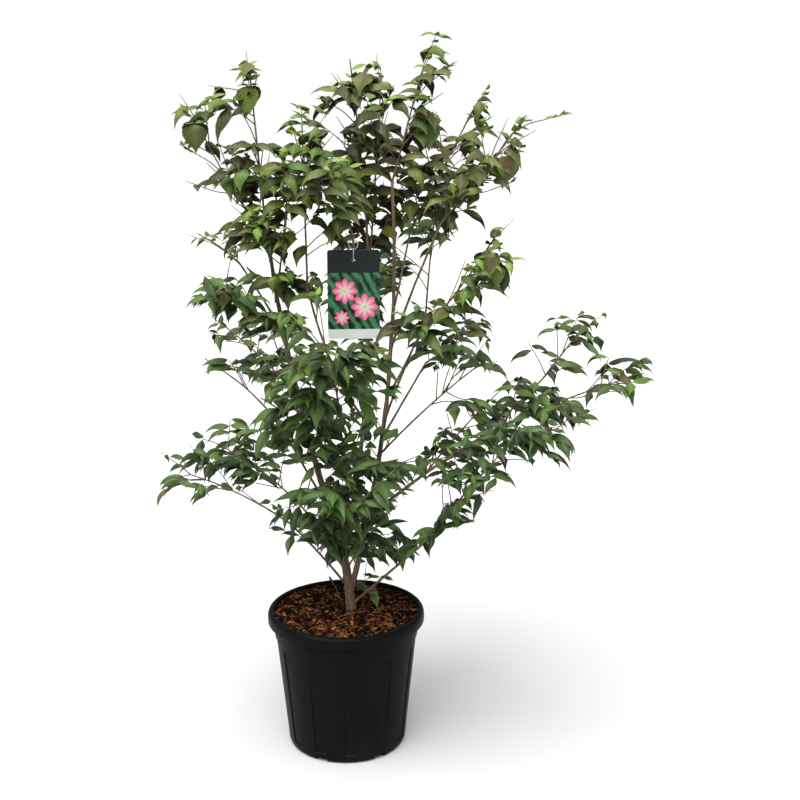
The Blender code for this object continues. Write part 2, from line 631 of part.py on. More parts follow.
class Grower:
    """Grows one mass within its own space, clear of every solid that stands already."""

    def __init__(self, spray, points, obstacles):
        self.spray = spray
        self.points = points
        self.obstacles = obstacles
        self.own = Obstacles()
        self.pieces = []
        self.rng = random.Random(f"growth of {spray.name}")

    def inside(self, verts):
        """Whether each vertex lies within the mass's reach of its stem."""
        for vert in verts:
            if min((vert - point).length for point in self.points) > self.spray.reach:
                return False
        return True

    def fits(self, whole, beyond_root):
        """Clear of all that stands, and of this mass's own pieces from just beyond its root."""
        return (
            self.inside(whole[0])
            and not self.obstacles.touched_by(*whole)
            and not self.own.touched_by(*beyond_root)
        )

    def add_leaf(self, node, way, side, size, pose=FULL_LEAF):
        """Tries a few near headings, and leaves the leaf out where none is clear."""
        rise, hang = pose
        for _ in range(TRIES):
            split = math.radians(self.rng.uniform(48, 78))
            out = way * math.cos(split) + side * math.sin(split)
            azimuth = math.degrees(math.atan2(out.y, out.x)) + self.rng.uniform(-16, 16)
            lift = max(-38.0, min(38.0, math.degrees(math.asin(max(-1.0, min(1.0, out.z))))))
            lift = lift * 0.5 + self.rng.uniform(*rise)
            out = heading(azimuth, lift)
            length = size * self.rng.uniform(0.86, 1.12)
            droop = self.rng.uniform(*hang)
            root = node - out * LEAF_SUNK
            beyond = leaf_mesh(node + out * length * ROOT_SHARE, out, length * (1 - ROOT_SHARE), droop, CLEAR)
            if not self.fits(leaf_mesh(root, out, length, droop, CLEAR), beyond):
                continue
            self.pieces.append(leaf_mesh(root, out, length, droop))
            self.own.add(*beyond)
            return True
        return False

    def add_pair(self, node, way, roll, size, pose=FULL_LEAF):
        level, rise = across(way)
        roll = math.radians(roll + self.rng.uniform(-14, 14))
        side = level * math.cos(roll) + rise * math.sin(roll)
        self.add_leaf(node, way, side, size, pose)
        self.add_leaf(node, way, -side, size, pose)

    def add_twig(self, node, way, side, length, size):
        for _ in range(TRIES):
            split = math.radians(SIDE_SPLIT + self.rng.uniform(-12, 10))
            out = (way * math.cos(split) + side * math.sin(split)).normalized()
            reach = length * self.rng.uniform(0.85, 1.1)
            bend = (out + UP * self.rng.uniform(-0.10, 0.28)).normalized()
            points = [node, node + (out + bend) * reach * 0.5]
            if reach > NODE_SPACING:
                points.insert(1, node + out * reach * 0.5)
            ahead = [node + out * SPRAY_FOOT_RADIUS * 2.5, *points[1:]]
            whole = twig_mesh(points, TWIG_RADIUS, TWIG_RADIUS, CLEAR)
            if not self.fits(whole, twig_mesh(ahead, TWIG_RADIUS, TWIG_RADIUS, CLEAR)):
                continue
            self.pieces.append(twig_mesh(points, TWIG_RADIUS, TWIG_RADIUS * 0.85))
            self.own.add(*twig_mesh(ahead, TWIG_RADIUS, TWIG_RADIUS))
            if reach > NODE_SPACING:
                self.add_pair(points[1], bend, 0.0, size)
            self.add_pair(points[-1] - bend * TWIG_RADIUS * 1.5, bend, 0.0, size * 0.95)
            return True
        return False

    def grow(self):
        spray = self.spray
        count = max(2, round(spray.length / NODE_SPACING))
        crosswise = spray.lift > STEEP
        roll = self.rng.uniform(0, 180) if crosswise else 0.0
        first, last = FIRST_NODE, 1.0 - TIP_SPACING / spray.length
        for index in range(count):
            share = first + (last - first) * index / (count - 1)
            node, way = along(self.points, share)
            level, rise = across(way)
            tilt = math.radians(roll + self.rng.uniform(-12, 12))
            side = level * math.cos(tilt) + rise * math.sin(tilt)
            length = spray.length * TWIG_SHARE * (1.0 - 0.75 * share) + 0.012
            length = min(length, spray.reach * 0.72)
            for hand in (side, -side):
                if length > SHORTEST_TWIG and index < count - 1:
                    grown = self.add_twig(node, way, hand, length, spray.leaf)
                    if grown:
                        continue
                self.add_leaf(node, way, hand, spray.leaf)
            roll += 90.0 if crosswise else 0.0
        node, way = along(self.points, 1.0)
        tip = node - way * SPRAY_TIP_RADIUS * 1.5
        self.add_pair(tip, way, roll, spray.leaf * TIP_LEAF, TIP_LEAF_POSE)


def mesh_lists(made):
    return (
        [made.matrix_world @ vert.co for vert in made.data.vertices],
        [tuple(face.vertices) for face in made.data.polygons],
    )


def build_spray_stems(paths, cutters):
    """The stem of every mass, cut clear of the limb that bears it."""
    stems = {}
    for spray in SPRAYS:
        points, way = rooted(spray, paths, SPRAY_STEP)
        radii = radii_of(points, SPRAY_FOOT_RADIUS, SPRAY_TIP_RADIUS)
        verts, faces = tube_mesh(points, radii, SPRAY_SIDES, first_way=way)
        stem = add_object(spray.name, from_lists(verts, faces), f"leaf_{spray.tone}")
        mine = BVHTree.FromPolygons(verts, faces)
        for name, cutter in cutters.items():
            if way and name == spray.parent:
                continue
            if mine.overlap(BVHTree.FromPolygons(*mesh_lists(cutter))):
                boolean(stem, "DIFFERENCE", cutter)
                keep_largest(stem)
        room = tube_mesh(points, radii, SPRAY_SIDES, CLEAR, way)
        stems[spray.name] = (stem, points, room)
    return stems


def build_sprays(paths, cutters, others):
    """Each mass of foliage as one solid on one stem, grown in turn round those before it."""
    bpy.context.view_layer.update()
    standing = Obstacles()
    for made in [*cutters.values(), *others]:
        standing.add(*mesh_lists(made))
    stems = build_spray_stems(paths, cutters)
    for spray in SPRAYS:
        body, points, _ = stems[spray.name]
        obstacles = Obstacles()
        obstacles.shells = list(standing.shells)
        for name, (_, _, room) in stems.items():
            if name != spray.name:
                obstacles.add(*room)
        grower = Grower(spray, points, obstacles)
        grower.grow()
        group = bpy.data.collections.new(f"{spray.name}_pieces")
        bpy.context.scene.collection.children.link(group)
        for piece in grower.pieces:
            add_object("piece", from_lists(*piece), f"leaf_{spray.tone}", group)
        boolean(body, "UNION", group, "MANIFOLD")
        remove_collection(group)
        keep_largest(body)
        standing.add(*mesh_lists(body))


def main():
    for made in list(bpy.data.objects):
        bpy.data.objects.remove(made)
    pot = build_pot()
    soil = build_soil()
    paths, cutters = build_limbs()
    card, tie = build_label(paths)
    build_sprays(paths, cutters, [pot, soil, card, tie])
    for cutter in cutters.values():
        remove_object(cutter)


main()
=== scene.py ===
"""Kousa dogwood in a black nursery container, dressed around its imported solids.

Metres, +Z up; the origin is the middle of the container's flat underside and -Y is the front.
Limbs are given by where they leave their parent, their heading, length and bend. Every mass of
foliage grows on its own stem by a seeded rule: side twigs in opposite pairs, finer twigs on
those, and leaves in pairs at each node, kept within the mass's reach.
"""

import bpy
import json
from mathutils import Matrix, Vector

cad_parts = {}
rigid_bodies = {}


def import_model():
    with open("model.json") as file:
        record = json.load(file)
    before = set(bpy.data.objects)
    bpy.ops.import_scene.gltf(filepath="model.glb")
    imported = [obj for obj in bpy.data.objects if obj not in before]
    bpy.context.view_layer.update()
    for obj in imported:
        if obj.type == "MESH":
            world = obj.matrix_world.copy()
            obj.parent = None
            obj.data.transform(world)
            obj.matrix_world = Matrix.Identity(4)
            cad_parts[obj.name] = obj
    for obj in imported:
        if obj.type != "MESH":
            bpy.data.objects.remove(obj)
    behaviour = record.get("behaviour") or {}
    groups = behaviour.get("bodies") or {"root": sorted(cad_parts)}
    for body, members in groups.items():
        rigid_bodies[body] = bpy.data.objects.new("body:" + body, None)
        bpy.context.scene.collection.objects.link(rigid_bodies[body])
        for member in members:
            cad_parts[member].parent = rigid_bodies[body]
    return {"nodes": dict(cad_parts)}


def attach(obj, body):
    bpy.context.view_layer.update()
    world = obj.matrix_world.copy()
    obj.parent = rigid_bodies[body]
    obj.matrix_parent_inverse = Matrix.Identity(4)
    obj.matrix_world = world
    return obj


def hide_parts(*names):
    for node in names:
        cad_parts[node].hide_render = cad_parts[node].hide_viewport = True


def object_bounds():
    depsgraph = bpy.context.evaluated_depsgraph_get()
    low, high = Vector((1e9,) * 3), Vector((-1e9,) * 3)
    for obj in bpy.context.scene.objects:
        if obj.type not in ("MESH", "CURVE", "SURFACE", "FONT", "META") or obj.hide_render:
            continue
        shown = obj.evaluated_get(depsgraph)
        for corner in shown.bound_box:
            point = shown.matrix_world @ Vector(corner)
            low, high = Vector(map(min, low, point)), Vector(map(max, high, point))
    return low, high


bl_info = {
    "name": "Potted Kousa Dogwood",
    "version": (1, 0, 0),
    "blender": (4, 5, 0),
    "location": "3D View > Sidebar > Dogwood",
    "description": "Builds a potted kousa dogwood: container, soil, bark, foliage, label and stage",
    "category": "Object",
}

import json
import math
import random
from collections import defaultdict, namedtuple
from itertools import product

import bmesh
import bpy
import numpy as np
from bpy.props import FloatProperty, FloatVectorProperty, IntProperty, PointerProperty
from mathutils import Matrix, Vector, noise
from mathutils.bvhtree import BVHTree

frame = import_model()
CAD_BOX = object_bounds()
CAD_NODES = sorted(frame["nodes"])

UP = Vector((0.0, 0.0, 1.0))
GAP = 0.0003  # between neighbouring solids

# Container, as the solids have it
POT_HEIGHT = 0.2535
POT_BASE_RADIUS = 0.1044
POT_TAPER = 0.1142
POT_WALL = 0.003
POT_FLOOR = 0.012
RIM_RADIUS = 0.1405
RIM_HEIGHT = 0.0205
LIP_THICKNESS = 0.0032
PANEL_COUNT = 12
PANEL_TOP = 0.1955
PANEL_FOOT = 0.016
PANEL_TURN = 6.0
NOTCH_COUNT = 6
NOTCH_DEPTH = 0.013
NOTCH_HEIGHT = 0.009
NOTCH_FACES = 5
POT_STEPS = 144
PANEL_FACES = 5
HALF_FACE = 180.0 / POT_STEPS  # degrees; a panel's middle before it is turned
WALL_FOOT = 0.1054  # radius and taper of the wall below the band under the lip
WALL_TAPER = 0.1013
BAND_FOOT = 0.207
BAND_PROUD = 0.0018

SOIL_EDGE = 0.247
SOIL_CROWN = 0.250
SOIL_SLOPE_END = 0.05  # radius where the rise to the crown ends
SOIL_LIFT = 0.0004  # of the loose top over the solid
SOIL_RINGS = 26
SOIL_STEPS = 96
TRUNK_CLEARANCE = 0.0135  # radius about the trunk without chips
CHIP_SIZES = (0.0022, 0.0062)
LARGE_CHIP_SIZES = (0.007, 0.012)
SMALL_CHIP_SHARE = 0.93
FIBRE_SIZES = (0.006, 0.020)
FIBRE_RADII = (0.00026, 0.00052)
TRUNK_SPOT = Vector((0.0096, -0.0008, SOIL_CROWN + GAP))

# Label
CARD_SIZE = Vector((0.086, 0.0008, 0.148))
CARD_HOLE_RADIUS = 0.0036
CARD_HOLE_DROP = 0.016
CARD_YAW = 4.0
CARD_STRIPS = 14  # across the bow
BLOSSOMS = ((0.33, 0.54, 0.25), (0.71, 0.36, 0.27), (0.27, 0.24, 0.15))  # middle and radius on the print
PETALS = 8
BLOSSOM_EYE = (0.62, 0.50, 0.10)
BAND_SHEEN = (0.012, 0.024, 0.024)
RING_RADIUS = 0.0075
RING_WIRE = 0.0008
LOOP_WIRE = 0.0007
LOOP_HALF_WIDTH = 0.0036
RING_SHARE = 0.90  # of the bough's length, where the ring hangs

# Limbs and shoots
LIMB_GIRTH = 0.86  # of the solids' girth
LIMB_STEP = 0.040  # length of a path's straight pieces
SPRAY_STEP = 0.075
SPRAY_FOOT_RADIUS = 0.0019
SPRAY_TIP_RADIUS = 0.0010
TWIG_RADIUS = 0.0011
TWIGLET_RADIUS = 0.0008
STEEP = 42.0  # degrees of lift above which the pairs on a stem cross
SIDE_SPLIT = 52.0  # degrees between a stem and its twigs
TWIG_SHARE = 0.42  # of a stem's length, for the longest twig
FIRST_NODE = 0.15  # share of a stem's length without twigs at its foot
TIP_CLEARANCE = 0.018  # least distance between two shoot tips of one mass
TIP_SPACING = 0.046  # from a shoot's last node to its tip
BARE_FOOT = 0.32  # share of a twig's length without leaves at its foot
BOX_ROOM = Vector((0.024, 0.015, 0.026))  # how far leaves may pass the solids' box along each axis
TRIES = 5  # for the place of one leaf or twig
HEADING_SPREAD = 16  # degrees to either side of a heading
ROLL_SPREAD = 14  # degrees that a pair turns about its shoot
LEAF_SPREAD = (0.80, 1.14)  # length of a leaf over the mean
LEAF_LIFT = 38.0  # steepest lift in degrees that a leaf takes from its shoot
DRAPED_SIZE = 1.14  # size of the leaves that drape at the top, and of those that arch below
ARCHING_SIZE = 1.12
LEAF_SINK = 0.0004  # of a leaf's root into its shoot
LEAST_TWIG = 0.030
SUCKER_RADII = (0.0010, 0.0006)
SUCKER_LEAF = 0.046
SUCKER_TIP_LEAF = 0.020
TIP_RADII = (0.0008, 0.0005)
TWIG_CHANCE = {"top": 0.68, "mid": 0.78, "low": 0.78}
TWIGLET_CHANCE = 0.45
TIP_CHANCE = {"top": 0.55, "mid": 0.30, "low": 0.18}

# Bark: swelling at a limb's foot and nodes, its wander, and its age at foot and tip, where 0 is old and 1
# is this year's
COLLAR_SWELL = 0.25
NODE_SWELL = 0.10
NODE_LENGTH = 0.0035
NODE_SPACING = (0.045, 0.060)
MOST_WANDER = 0.0012
WANDER_SEED = 7  # without it the noise vectors differ each run
BARK_AGES = {"trunk": (0.0, 0.1), "stem": (0.02, 0.75), "bough": (0.30, 0.60)}

# Stage
SIGHT = Vector((0.097, -2.2, 1.1825))  # the eye of the front view
SIGHT_PITCH = 13.9  # degrees down
SENSOR_WIDTH = 36.0  # millimetres
FOCAL_LENGTH = 1309.0  # in pixels of a picture as wide as the next number
PICTURE_WIDTH = 800.0
KEY_SPOT, KEY_ENERGY, KEY_ANGLE = (-0.7, -1.5, 3.8), 4.9, 60.0
FILL_SPOT, FILL_ENERGY, FILL_SIZE = (2.4, -1.8, 1.8), 8.0, 2.0
LIGHT_AIM = Vector((0.0, 0.0, 0.7))
SKY = ((0.07, 1.0), (0.15, 0.24), (0.50, 0.30), (0.78, 1.5))  # (height in the sky, brightness)
SKY_STRENGTH = 1.5

Limb = namedtuple("Limb", "name parent share azimuth lift length bend foot tip")
Spray = namedtuple("Spray", "name parent share azimuth lift length bend reach leaf tone")
Leaf = namedtuple("Leaf", "root out length droop curl width fold twist swerve shade kind")
Pose = namedtuple("Pose", "split rise droop curl fold width")
Sucker = namedtuple("Sucker", "mass foot azimuth lift length pairs")
Twig = namedtuple("Twig", "points foot tip nodes age")
Label = namedtuple("Label", "ring_middle ring_axis loop_middle loop_axis loop_height card_top")

LIMBS = [Limb(*row) for row in (
    ("trunk", None, 0.00, 132, 77, 0.122, -14, 0.0108, 0.0086),
    ("stem_left", "trunk", 1.00, 202, 78, 0.62, 12, 0.0074, 0.0030),
    ("stem_centre", "trunk", 0.79, 54, 83, 0.60, 24, 0.0054, 0.0027),
    ("stem_right", "trunk", 0.23, 359, 84, 0.74, 18, 0.0062, 0.0027),
    ("bough_low_left", "trunk", 0.31, 198, 52, 0.17, -6, 0.0027, 0.0020),
    ("bough_left_second", "trunk", 0.87, 149, 38, 0.13, 4, 0.0027, 0.0020),
    ("bough_left_third", "stem_left", 0.12, 188, 62, 0.18, 6, 0.0026, 0.0020),
    ("bough_left_upper", "stem_left", 0.64, 149, 52, 0.15, -8, 0.0024, 0.0020),
    ("bough_centre_thin", "stem_centre", 0.42, 239, 57, 0.31, 26, 0.0026, 0.0020),
    ("bough_tag", "stem_centre", 0.62, 262, 56, 0.28, -8, 0.0025, 0.0020),
    ("bough_right_fork", "stem_right", 0.70, 64, 63, 0.15, 4, 0.0024, 0.0020),
    ("bough_right_upper", "stem_right", 0.62, 328, 66, 0.24, -6, 0.0027, 0.0020),
    ("bough_right_mid", "stem_right", 0.44, 306, 60, 0.18, -4, 0.0026, 0.0020),
    ("bough_right_mid_back", "stem_right", 0.40, 52, 42, 0.17, 0, 0.0026, 0.0020),
    ("bough_right_low", "stem_right", 0.20, 0, 36, 0.29, -12, 0.0036, 0.0024),
    ("bough_right_low_up", "bough_right_low", 0.86, 32, 34, 0.16, 6, 0.0023, 0.0019),
    ("bough_right_low_front", "bough_right_low", 0.55, 316, 29, 0.15, -6, 0.0024, 0.0019),
    ("bough_low_right", "trunk", 0.06, 326, 44, 0.25, 0, 0.0030, 0.0022),
    ("bough_front", "stem_centre", 0.30, 262, 36, 0.23, -10, 0.0026, 0.0020),
    ("bough_back", "stem_centre", 0.48, 94, 20, 0.16, 10, 0.0026, 0.0020),
    ("bough_back_left", "stem_left", 0.35, 104, 12, 0.17, 10, 0.0026, 0.0020),
    ("bough_back_right", "stem_right", 0.50, 68, 29, 0.21, 10, 0.0026, 0.0020),
)]

SPRAYS = [Spray(*row) for row in (
    ("leaves_low_left", "bough_low_left", 1.00, 190, 27, 0.27, -26, 0.105, 0.066, "low"),
    ("leaves_left_second", "bough_left_second", 1.00, 160, 29, 0.21, -24, 0.100, 0.064, "low"),
    ("leaves_left_third", "bough_left_third", 1.00, 180, 42, 0.17, -20, 0.095, 0.064, "mid"),
    ("leaves_left_fourth", "stem_left", 0.46, 135, 25, 0.26, -16, 0.105, 0.064, "mid"),
    ("leaves_left_fifth", "stem_left", 0.64, 226, 31, 0.20, -16, 0.100, 0.068, "mid"),
    ("leaves_left_upper", "bough_left_upper", 1.00, 166, 33, 0.09, -20, 0.090, 0.064, "top"),
    ("leaves_left_top", "stem_left", 1.00, 212, 85, 0.22, 0, 0.095, 0.074, "top"),
    ("leaves_left_outer", "stem_left", 0.90, 177, 61, 0.26, 14, 0.100, 0.074, "top"),
    ("leaves_left_inner", "stem_left", 0.76, 289, 65, 0.24, 14, 0.090, 0.070, "top"),
    ("leaves_centre_top", "stem_centre", 1.00, 245, 78, 0.28, -6, 0.105, 0.076, "top"),
    ("leaves_centre_thin", "bough_centre_thin", 1.00, 169, 89, 0.26, 0, 0.090, 0.072, "top"),
    ("leaves_centre_front", "bough_tag", 1.00, 222, 51, 0.14, 4, 0.090, 0.072, "top"),
    ("leaves_centre_back", "stem_centre", 0.84, 80, 70, 0.37, 6, 0.110, 0.074, "top"),
    ("leaves_top_right", "stem_right", 1.00, 18, 74, 0.23, 0, 0.105, 0.074, "top"),
    ("leaves_right_fork", "bough_right_fork", 1.00, 27, 59, 0.25, 0, 0.105, 0.074, "top"),
    ("leaves_right_upper", "bough_right_upper", 1.00, 348, 52, 0.22, 6, 0.100, 0.074, "top"),
    ("leaves_right_mid", "bough_right_mid", 1.00, 329, 52, 0.25, 8, 0.095, 0.074, "top"),
    ("leaves_right_mid_back", "bough_right_mid_back", 1.00, 29, 23, 0.16, -8, 0.100, 0.064, "mid"),
    ("leaves_right_mid_low", "stem_right", 0.36, 342, 44, 0.27, -10, 0.100, 0.064, "mid"),
    ("leaves_right_tip", "bough_right_low", 1.00, 0, 21, 0.26, -8, 0.095, 0.068, "mid"),
    ("leaves_right_low_up", "bough_right_low_up", 1.00, 14, 51, 0.12, 0, 0.100, 0.064, "mid"),
    ("leaves_right_low_front", "bough_right_low_front", 1.00, 321, 16, 0.13, -16, 0.100, 0.064, "low"),
    ("leaves_right_low_back", "bough_right_low", 0.45, 46, 30, 0.22, -10, 0.100, 0.062, "low"),
    ("leaves_low_right", "bough_low_right", 1.00, 323, 52, 0.19, -10, 0.105, 0.064, "low"),
    ("leaves_low_front", "trunk", 0.68, 279, 38, 0.35, -20, 0.110, 0.066, "low"),
    ("leaves_low_back", "trunk", 0.60, 70, 8, 0.27, -20, 0.110, 0.064, "low"),
    ("leaves_low_front_left", "stem_left", 0.10, 261, 27, 0.27, -20, 0.105, 0.066, "low"),
    ("leaves_front", "bough_front", 1.00, 266, 38, 0.23, -20, 0.110, 0.076, "mid"),
    ("leaves_back", "bough_back", 1.00, 82, 53, 0.21, -10, 0.110, 0.068, "mid"),
    ("leaves_back_left", "bough_back_left", 1.00, 115, 39, 0.23, -16, 0.110, 0.066, "mid"),
    ("leaves_back_right", "bough_back_right", 1.00, 81, 56, 0.25, -10, 0.110, 0.068, "mid"),
    ("leaves_front_left", "stem_left", 0.32, 253, 32, 0.25, -16, 0.105, 0.068, "mid"),
    ("leaves_front_right", "stem_right", 0.30, 285, 25, 0.25, -16, 0.105, 0.066, "low"),
)]

# Share of bronze leaves in the masses that have turned most; the other top masses have a little
BRONZE = {
    "leaves_left_top": 0.44, "leaves_left_outer": 0.48, "leaves_centre_top": 0.40, "leaves_top_right": 0.40,
    "leaves_right_fork": 0.36, "leaves_right_upper": 0.40, "leaves_right_mid": 0.33,
}
BRONZE_ELSEWHERE = {"top": 0.12, "mid": 0.03, "low": 0.0}

# Ranges of how a leaf is held: angle from its shoot, rise and droop in degrees, the share of its
# length where its arch ends, fold along its rib, and width as a share of the usual
ARCHING = Pose((48, 78), (8, 34), (68, 112), (0.76, 1.06), (32, 60), (0.72, 0.94))
DRAPED = Pose((46, 74), (12, 42), (84, 128), (0.70, 1.05), (26, 50), (0.86, 1.08))
HANGING = Pose((62, 84), (-6, 14), (84, 100), (0.22, 0.34), (-4, 16), (1.45, 1.65))
UPRIGHT = Pose((30, 62), (6, 34), (20, 66), (0.8, 1.1), (14, 36), (0.90, 1.1))
UMBRELLA = Pose((44, 70), (10, 38), (56, 104), (0.62, 0.95), (20, 44), (0.95, 1.15))

# A shoot that carries a tuft: percent along its mass's stem or along the limb named, heading in degrees,
# length in millimetres, and how its leaves are held
SideShoot = namedtuple("SideShoot", "percent azimuth lift millimetres pose limb", defaults=(ARCHING, None))

SIDE_SHOOTS = {
    "leaves_low_left": (
        (70, 180, 49, 57, ARCHING, "bough_low_left"), (65, 210, 0, 59), (60, 180, 63, 53),
        (70, 209, 34, 50, ARCHING, "bough_low_left"), (45, 180, 57, 60),
    ),
    "leaves_left_second": (
        (75, 88, 58, 57), (80, 180, 23, 54), (50, 128, 44, 53), (20, 74, 56, 55), (20, 180, 21, 51),
    ),
    "leaves_left_third": ((50, 180, 59, 54),),
    "leaves_left_fourth": ((60, 147, 3, 56),),
    "leaves_left_fifth": ((85, 237, 48, 54), (55, 227, 44, 57), (40, 259, 56, 55), (75, 0, 80, 59)),
    "leaves_left_upper": ((30, 180, 28, 56), (5, 120, 51, 54)),
    "leaves_left_top": (
        (75, 180, 84, 60, UPRIGHT), (80, 180, 16, 53, UPRIGHT), (65, 180, 82, 51, HANGING),
        (15, 180, 51, 54), (5, 0, 80, 55), (60, 180, 33, 57), (45, 180, 66, 53), (75, 0, 80, 59),
        (30, 180, 64, 50), (25, 0, 80, 52), (5, 180, 73, 57),
    ),
    "leaves_left_outer": (
        (75, 180, 62, 59, UPRIGHT), (65, 180, 61, 57, HANGING), (70, 180, 86, 54), (5, 131, 20, 43),
        (80, 180, 31, 56), (65, 180, 24, 59), (10, 180, 76, 60), (35, 180, 48, 53), (50, 180, 38, 59),
        (5, 180, 47, 52), (40, 180, 75, 59),
    ),
    "leaves_left_inner": (
        (35, 230, 42, 53), (5, 323, 27, 56), (80, 262, 58, 58), (45, 230, 44, 54), (5, 302, 37, 45),
        (5, 228, 32, 48), (35, 304, 48, 54), (5, 315, 1, 42), (55, 290, 54, 54),
    ),
    "leaves_centre_top": (
        (80, 180, 83, 50, UPRIGHT), (70, 0, 72, 57), (60, 180, 39, 59), (25, 180, 74, 49),
        (70, 222, 36, 55), (45, 0, 81, 57), (70, 239, 50, 55), (30, 180, 58, 52), (40, 180, 61, 57),
    ),
    "leaves_centre_thin": (
        (80, 180, 89, 54, UPRIGHT), (70, 0, 54, 57), (75, 180, 75, 53), (80, 0, 63, 54, UPRIGHT),
        (45, 180, 83, 58), (25, 0, 36, 56), (5, 303, 17, 38),
        (80, 274, 64, 45, ARCHING, "bough_centre_thin"), (20, 0, 29, 54), (70, 0, 73, 53),
    ),
    "leaves_centre_front": ((50, 293, 54, 55), (5, 233, 37, 47)),
    "leaves_centre_back": (
        (90, 99, 58, 57, UPRIGHT), (75, 61, 55, 59), (15, 139, 33, 54), (10, 0, 64, 57), (25, 0, 76, 57),
        (5, 122, 46, 51), (25, 0, 26, 53), (85, 76, 58, 59), (60, 0, 76, 54),
    ),
    "leaves_top_right": (
        (70, 0, 34, 52, UPRIGHT), (75, 0, 70, 50, UPRIGHT), (5, 0, 18, 54), (30, 0, 63, 54),
        (25, 0, 46, 59, HANGING), (35, 0, 73, 58), (60, 0, 71, 55), (60, 0, 44, 56), (45, 0, 40, 50),
    ),
    "leaves_right_fork": (
        (5, 88, 55, 53), (50, 180, 83, 53), (80, 0, 61, 51, UPRIGHT), (75, 43, 38, 56, HANGING),
        (30, 0, 49, 56), (10, 180, 65, 53), (65, 42, 37, 56), (60, 0, 34, 55), (20, 66, 53, 54),
        (50, 41, 35, 56), (15, 180, 66, 58),
    ),
    "leaves_right_upper": (
        (65, 0, 52, 53, HANGING), (75, 0, 58, 54, UPRIGHT), (85, 0, 22, 51, UPRIGHT),
        (45, 0, 36, 55, HANGING), (20, 0, 77, 50), (30, 0, 63, 51), (55, 0, 68, 55), (60, 0, 37, 60),
        (5, 310, 22, 42), (40, 0, -2, 57),
    ),
    "leaves_right_mid": (
        (65, 316, 40, 56, HANGING), (80, 307, 48, 56, UPRIGHT), (65, 325, 21, 57, HANGING),
        (5, 299, 55, 59), (20, 316, 37, 54), (5, 265, 32, 36), (5, 256, 55, 53), (50, 297, 49, 51),
        (5, 180, 51, 51), (40, 326, 26, 59), (80, 0, 40, 52),
    ),
    "leaves_right_mid_back": ((5, 106, 34, 38), (40, 39, 32, 56), (25, 47, 40, 53), (60, 34, 7, 55)),
    "leaves_right_mid_low": (
        (10, 180, 62, 63), (75, 0, 57, 59), (60, 0, 75, 51), (50, 328, 12, 59), (55, 0, 87, 54),
        (60, 0, 54, 58), (80, 324, 29, 59), (5, 302, 52, 58),
    ),
    "leaves_right_tip": (
        (5, 0, 79, 55), (20, 0, 80, 54), (70, 73, 55, 55), (75, 0, 41, 50), (35, 327, 6, 56),
        (80, 327, -7, 56), (10, 0, 45, 60),
    ),
    "leaves_right_low_up": (
        (35, 93, 57, 56), (65, 0, 46, 53), (45, 0, 69, 54), (5, 119, 49, 52), (5, 0, 20, 55),
        (55, 0, 20, 56),
    ),
    "leaves_right_low_front": ((45, 328, -5, 57), (25, 330, -16, 62), (90, 0, 29, 55)),
    "leaves_right_low_back": ((5, 70, 54, 55), (80, 31, 1, 58), (95, 0, 39, 68)),
    "leaves_low_right": (
        (70, 180, 79, 54), (95, 0, 5, 61), (85, 0, 42, 57), (5, 296, 51, 52),
        (70, 321, 48, 48, ARCHING, "bough_low_right"), (95, 0, 78, 57), (30, 180, 81, 57),
        (50, 180, 76, 53), (60, 0, 69, 55), (75, 326, 9, 55), (5, 251, 10, 32), (35, 321, 32, 56),
        (5, 303, 28, 41),
    ),
    "leaves_low_front": ((90, 0, 48, 54),),
    "leaves_low_back": ((25, 0, 0, 70), (70, 48, 39, 52)),
    "leaves_low_front_left": ((45, 0, 57, 54), (75, 0, 73, 70), (20, 209, 1, 62)),
    "leaves_front": (
        (50, 235, 46, 52), (50, 271, 56, 53), (60, 315, 41, 56), (20, 293, 55, 56), (40, 0, 29, 60),
        (15, 215, 18, 55), (5, 247, 30, 38), (95, 180, 83, 61), (90, 180, 48, 53), (5, 0, 23, 64),
    ),
    "leaves_back": ((65, 43, 33, 53), (5, 44, 5, 44), (10, 37, 21, 54), (75, 47, 44, 58)),
    "leaves_back_right": ((65, 0, 28, 55), (25, 139, 37, 57)),
    "leaves_front_left": (
        (25, 0, 45, 55), (5, 331, 37, 77), (40, 0, 48, 58, ARCHING, "bough_left_third"), (30, 208, 0, 64),
        (5, 226, 14, 43), (5, 307, 33, 45), (65, 252, 53, 52),
    ),
    "leaves_front_right": ((30, 180, 52, 73), (15, 211, 37, 74)),
}

